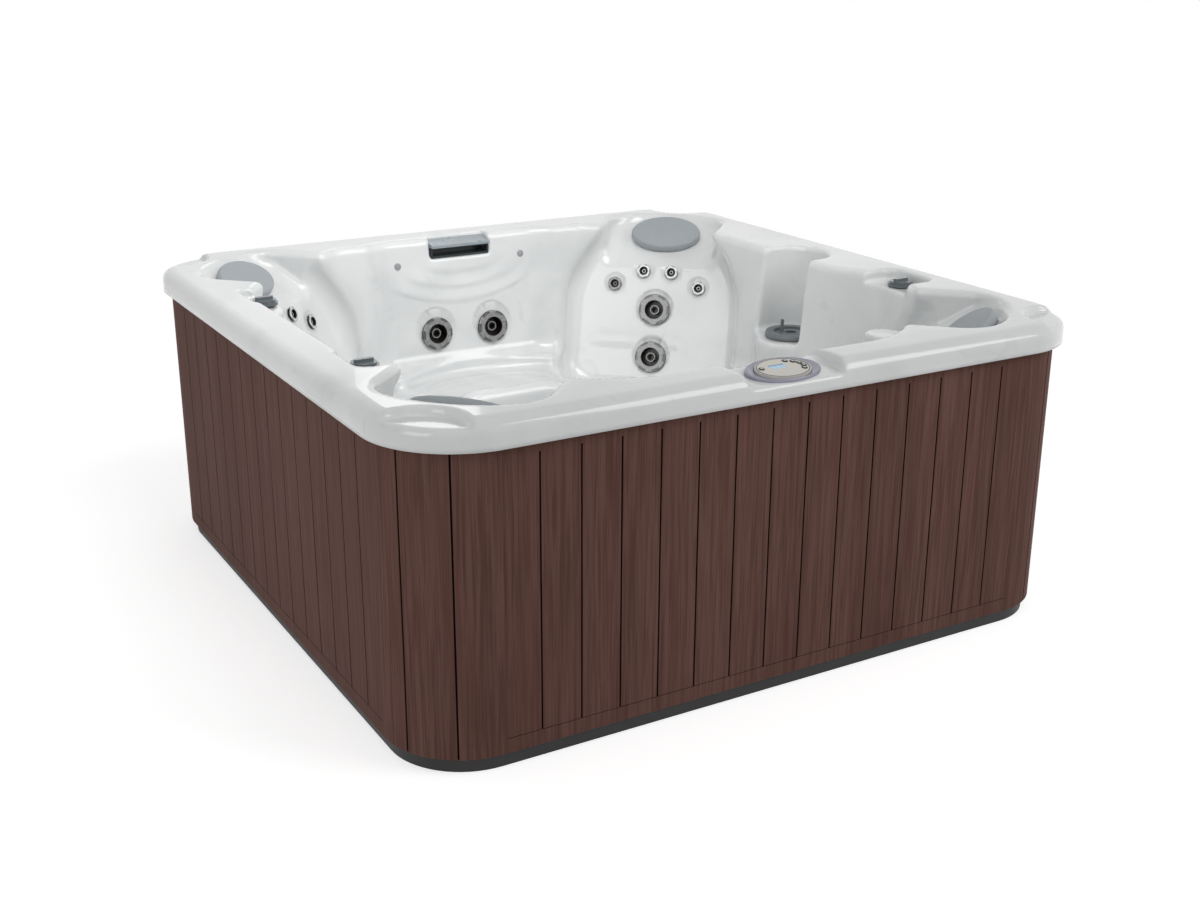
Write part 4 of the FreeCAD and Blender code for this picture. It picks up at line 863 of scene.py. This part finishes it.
# Share of the outline and height above the back, from the back's middle round to the face's middle
PILLOW_PROFILE = (
    (0.02, 0.0), (0.50, 0.0), (0.86, 0.0), (0.925, 0.001), (0.975, 0.007), (1.0, 0.017), (0.995, 0.025),
    (0.97, 0.031), (0.93, 0.0338), (0.885, 0.0345), (0.86, 0.0343), (0.80, 0.0350), (0.60, 0.0365),
    (0.30, 0.0380), (0.02, 0.0385))
PILLOW_SIDES = 64


def ring_faces(rings, sides):
    """Quads between rings of points that lie one after another."""
    faces = []
    for ring, step in itertools.product(range(rings - 1), range(sides)):
        a = ring * sides + step
        b = ring * sides + (step + 1) % sides
        faces.append([a, b, b + sides, a + sides])
    return faces


def oval_ring(half_length, half_width, height, sides, middle=(0, 0)):
    """Points round an oval at a height."""
    points = []
    for step in range(sides):
        turn = 2 * math.pi * step / sides
        across = middle[0] + half_length * math.cos(turn)
        up = middle[1] + half_width * math.sin(turn)
        points.append(Vector((across, up, height)))
    return points


def make_pillow(corner, finish):
    """An oval foam head rest, flat behind, with a full rounded edge and a low crown."""
    rings = []
    for share, height in PILLOW_PROFILE:
        length, width = PILLOW_HALF_LENGTH * share, PILLOW_HALF_WIDTH * share
        rings += oval_ring(length, width, height + PILLOW_LIFT, PILLOW_SIDES)
    faces = ring_faces(len(PILLOW_PROFILE), PILLOW_SIDES)
    last = len(rings) - PILLOW_SIDES
    faces.append(list(range(PILLOW_SIDES))[::-1])
    faces.append(list(range(last, len(rings))))
    points = [pillow_frame(corner) @ point for point in rings]
    pillow = mesh_piece(f"pillow_pad_{corner}", points, faces, finish)
    pillow.modifiers.new("Smooth", "SUBSURF").render_levels = 2
    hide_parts(f"pillow_{corner}")


# Control panel

BEZEL_HALF = (0.111, 0.064)
FACE_HALF = (0.080, 0.055)
FACE_HEIGHT = 0.011
BEZEL_SIDES = 96
LINE_SIDES = 64
# Share of the way in from the bezel's edge to its opening, and height
BEZEL_PROFILE = (
    (0.0, 0.0), (0.0, 0.0045), (0.05, 0.0075), (0.15, 0.009), (0.28, 0.0088), (0.55, 0.0068),
    (0.85, 0.0048), (0.99, 0.0042), (0.99, 0.0))
FACE_LINE = (0.925, 0.958)
BUTTON_LINE = (0.0064, 0.0084)
BUTTON_RIM = 0.0042
LINE_HEIGHT = 0.0006


def make_bezel():
    """An oval surround with a rolled edge that falls in towards the panel's face."""
    rings = []
    for share, height in BEZEL_PROFILE:
        halves = [outer + share * (inner - outer) for outer, inner in zip(BEZEL_HALF, FACE_HALF)]
        rings += oval_ring(*halves, height, BEZEL_SIDES)
    points = [panel_frame() @ point for point in rings]
    finish = speckled("bezel_plastic", (0.27, 0.27, 0.34), (0.33, 0.33, 0.41), 0.24,
                      Specular_IOR_Level=0.6, Metallic=0.2)
    faces = ring_faces(len(BEZEL_PROFILE), BEZEL_SIDES)
    bezel = mesh_piece("bezel_surround", points, faces, finish)
    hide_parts("control_bezel")


def make_line(name, middle, inner, outer, finish):
    """A thin raised line round an oval on the panel's face, between two pairs of half sizes."""
    top = FACE_HEIGHT + LINE_HEIGHT
    edges = ((inner, FACE_HEIGHT), (inner, top), (outer, top), (outer, FACE_HEIGHT))
    rings = []
    for halves, height in edges:
        rings += oval_ring(*halves, height, LINE_SIDES, middle)
    points = [panel_frame() @ point for point in rings]
    mesh_piece(name, points, ring_faces(len(edges), LINE_SIDES), finish)


def make_panel_lines():
    """The dark line round the panel's face and the one round each button."""
    finish = speckled("line_plastic", (0.030, 0.030, 0.036), (0.046, 0.046, 0.054), 0.35)
    inner, outer = [[half * share for half in FACE_HALF] for share in FACE_LINE]
    make_line("face_line", (0, 0), inner, outer, finish)
    to_panel = panel_frame().inverted()
    for name in BUTTONS:
        low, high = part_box(name)
        middle = to_panel @ ((low + high) / 2)
        inner, outer = [(radius, radius) for radius in BUTTON_LINE]
        make_line(f"line_{name}", middle, inner, outer, finish)


# CAD pieces that keep their shape

def soften(name, width):
    """Round the edges of a carried-over solid a little, so that they catch the light."""
    solid = frame["nodes"][name]
    weld = solid.modifiers.new("Weld", "WELD")
    weld.merge_threshold = 0.00001
    bevel = solid.modifiers.new("Bevel", "BEVEL")
    bevel.width = width
    bevel.segments = 2
    bevel.angle_limit = math.radians(35)
    solid.modifiers.new("Normals", "WEIGHTED_NORMAL")


def paint(finish, *names):
    """Give carried-over solids a material."""
    for name in names:
        slots = frame["nodes"][name].material_slots
        slots[0].material = finish


def paint_cabinet():
    """Boards on the four sides and the four corners."""
    front_board = cabinet_board("cabinet_front", slat_number(0), groove_shade_mark(1))
    paint(front_board, "cabinet_panel_front", "cabinet_panel_back")
    side_board = cabinet_board("cabinet_side", slat_number(1), groove_shade_mark(0))
    paint(side_board, "cabinet_panel_left", "cabinet_panel_right")
    corner_board = cabinet_board("cabinet_corner", corner_slat, corner_groove_shade)
    paint(corner_board, *(f"corner_panel_{corner}" for corner in CORNERS))


def paint_jets():
    """Rings, nozzles and small jets."""
    for name in LARGE_JETS:
        paint(jet_plastic(name, LARGE_FACE, LARGE_NOTCH_FLOOR, RING_GREY), name)
        soften(name, 0.0006)
    for name in NOZZLES:
        paint(jet_plastic(name, LARGE_FACE, 0.0, RING_GREY), name)
        soften(name, 0.0005)
    for name in SMALL_JETS:
        grey = RING_GREY if name == SATIN_JET else SMALL_JET_GREY
        paint(jet_plastic(name, SMALL_FACE, SMALL_NOTCH_FLOOR, grey), name)
        soften(name, 0.0004)


def paint_fittings():
    """Knobs, filter, waterfall, lights and control panel."""
    knob_grey = speckled("knob_plastic", (0.105, 0.125, 0.135), (0.135, 0.155, 0.165), 0.26,
                         Coat_Weight=0.4)
    paint(knob_grey, *KNOBS)
    filter_grey = speckled("filter_plastic", (0.140, 0.160, 0.168), (0.175, 0.195, 0.203), 0.36)
    paint(filter_grey, "filter_lid", "filter_canister", "footwell_fittings")
    paint(speckled("cap_plastic", (0.290, 0.335, 0.360), (0.340, 0.385, 0.410), 0.30), "waterfall_cap")
    spout_black = speckled("spout_plastic", (0.030, 0.036, 0.040), (0.050, 0.060, 0.065), 0.22)
    paint(spout_black, "waterfall_spout")
    paint(speckled("light_lens", (0.30, 0.31, 0.32), (0.36, 0.37, 0.38), 0.30), "accent_lights")
    paint(speckled("panel_face", (0.66, 0.64, 0.58), (0.71, 0.69, 0.63), 0.38), "control_unit")
    paint(display_glass(), "display_window")
    for name in BUTTONS:
        paint(button_plastic(name), name)
    for name in KNOBS + BUTTONS + ["filter_lid", "waterfall_cap", "control_unit", "accent_lights"]:
        soften(name, 0.0008)


def paint_hidden():
    """The base, and the equipment inside the cabinet."""
    body = speckled("body_plastic", (0.012, 0.012, 0.013), (0.020, 0.020, 0.022), 0.45)
    paint(body, "large_jet_bodies", "small_jet_bodies", "valve_bodies", "pump_wet_end")
    paint(speckled("base_plastic", (0.004, 0.004, 0.004), (0.009, 0.009, 0.009), 0.55), "base_pan")
    timber = speckled("frame_timber", (0.38, 0.26, 0.14), (0.50, 0.36, 0.21), 0.65, 18.0)
    paint(timber, "frame_rails", "frame_posts")
    paint(speckled("cartridge_fabric", (0.62, 0.65, 0.68), (0.70, 0.72, 0.74), 0.80), "filter_cartridge")
    paint(speckled("motor_paint", (0.020, 0.026, 0.038), (0.030, 0.038, 0.052), 0.42), "pump_motor")
    steel = speckled("steel", (0.42, 0.42, 0.42), (0.52, 0.52, 0.52), 0.32, Metallic=1.0)
    paint(steel, "pump_rotor", "heater_tube")
    paint(speckled("pipe_plastic", (0.66, 0.66, 0.65), (0.72, 0.72, 0.71), 0.30), "main_pipes")
    paint(speckled("box_plastic", (0.050, 0.052, 0.055), (0.070, 0.072, 0.076), 0.48), "equipment_box")


# Stage, light and camera

FLOOR_HALF = 5.0
FLOOR_GAP = 0.0005
FLOOR_GLOW = 0.60
WORLD_LIGHT = 0.38


def seen_directly(tree):
    """One for rays from the camera and for those that a mirror or glass sends on."""
    path = tree.nodes.new("ShaderNodeLightPath").outputs
    seen = path["Is Camera Ray"]
    for ray in ("Is Glossy Ray", "Is Transmission Ray"):
        wider = tree.nodes.new("ShaderNodeMath")
        wider.operation = "MAXIMUM"
        tree.links.new(seen, wider.inputs[0])
        tree.links.new(path[ray], wider.inputs[1])
        seen = wider.outputs[0]
    return seen


def make_floor():
    """A white floor that keeps the tub's shadow and fades into the white background far out."""
    mesh = bpy.data.meshes.new("floor")
    corners = [(-1, -1), (1, -1), (1, 1), (-1, 1)]
    points = [(x * FLOOR_HALF, y * FLOOR_HALF, -FLOOR_GAP) for x, y in corners]
    mesh.from_pydata(points, [], [(0, 1, 2, 3)])
    floor = bpy.data.objects.new("floor", mesh)
    bpy.context.scene.collection.objects.link(floor)
    finish = material("floor", Roughness=0.9, Specular_IOR_Level=0.1, Emission_Color=(1, 1, 1, 1))
    soft = noise(finish, place(finish), 0.8)
    feed(finish, "Base Color", mixed(finish, soft, (0.86, 0.86, 0.86), (0.88, 0.88, 0.88)))
    glow = sums(finish, "MULTIPLY", seen_directly(finish.node_tree), FLOOR_GLOW)
    feed(finish, "Emission Strength", glow)
    reach = vectors(finish, "LENGTH", {0: place(finish)})[1]
    feed(finish, "Alpha", spread(finish, reach, 0.55 * FLOOR_HALF, 0.95 * FLOOR_HALF, 1.0, 0.0))
    mesh.materials.append(finish)


def make_world():
    """Even white light, seen as plain white."""
    world = bpy.data.worlds.new("studio")
    bpy.context.scene.world = world
    world.use_nodes = True
    tree = world.node_tree
    background = tree.nodes["Background"]
    background.inputs["Color"].default_value = (1, 1, 1, 1)
    strength = tree.nodes.new("ShaderNodeMix")
    strength.inputs[2].default_value = WORLD_LIGHT
    strength.inputs[3].default_value = 1.0
    tree.links.new(seen_directly(tree), strength.inputs[0])
    tree.links.new(strength.outputs[0], background.inputs["Strength"])


def lamp(name, place_at, aim, size, power, spread_angle=180):
    """A soft rectangular lamp that looks at a point."""
    light = bpy.data.lights.new(name, "AREA")
    light.shape = "RECTANGLE"
    light.size, light.size_y = size
    light.energy = power
    light.spread = math.radians(spread_angle)
    holder = bpy.data.objects.new(name, light)
    holder.location = place_at
    holder.rotation_euler = (Vector(aim) - Vector(place_at)).to_track_quat("-Z", "Y").to_euler()
    bpy.context.scene.collection.objects.link(holder)


def make_lights():
    """A key lamp from the front, one over the basin, one from the left and a weak one from behind."""
    middle = (0, 0, 0.6)
    lamp("key", (2.6, -3.8, 3.4), middle, (2.5, 2.5), 66)
    lamp("inside", (-0.25, -0.5, 2.4), (-0.2, BASIN_BACK, 0.6), (1.6, 0.9), 9.5, 110)
    lamp("left", (-4.6, -2.2, 2.2), middle, (2.0, 2.5), 33)
    lamp("back", (1.5, 4.8, 3.0), middle, (0.8, 0.9), 2.6)


# The photograph's camera: what it looks at, from how far and which way, and its focal length in widths
CAMERA_TARGET = Vector((-0.0866, -0.2356, 0.4517))
CAMERA_DISTANCE = 4.5076
CAMERA_AZIMUTH = math.radians(-30.3966)
CAMERA_ELEVATION = math.radians(19.0254)
CAMERA_ROLL = math.radians(0.2385)
FOCAL_WIDTHS = 1505.457 / 1200


def make_camera():
    """The camera at the photograph's viewing angle."""
    camera = bpy.data.cameras.new("camera")
    camera.sensor_width = 36
    camera.lens = camera.sensor_width * FOCAL_WIDTHS
    camera.clip_end = 100
    holder = bpy.data.objects.new("camera", camera)
    flat = math.cos(CAMERA_ELEVATION)
    to_x, to_y = math.sin(CAMERA_AZIMUTH) * flat, -math.cos(CAMERA_AZIMUTH) * flat
    back = Vector((to_x, to_y, math.sin(CAMERA_ELEVATION)))
    level = Vector((0, 0, 1)).cross(back).normalized()
    upright = back.cross(level)
    right = level * math.cos(CAMERA_ROLL) + upright * math.sin(CAMERA_ROLL)
    up = upright * math.cos(CAMERA_ROLL) - level * math.sin(CAMERA_ROLL)
    holder.matrix_world = frame_at(CAMERA_TARGET + back * CAMERA_DISTANCE, right, up, back)
    bpy.context.scene.collection.objects.link(holder)
    bpy.context.scene.camera = holder


make_shell()
foam = pillow_foam()
for corner in CORNERS:
    make_pillow(corner, foam)
make_bezel()
make_panel_lines()
paint_cabinet()
paint_jets()
paint_fittings()
paint_hidden()
make_floor()
make_world()
make_lights()
make_camera()
bpy.context.scene.view_settings.view_transform = "Standard"
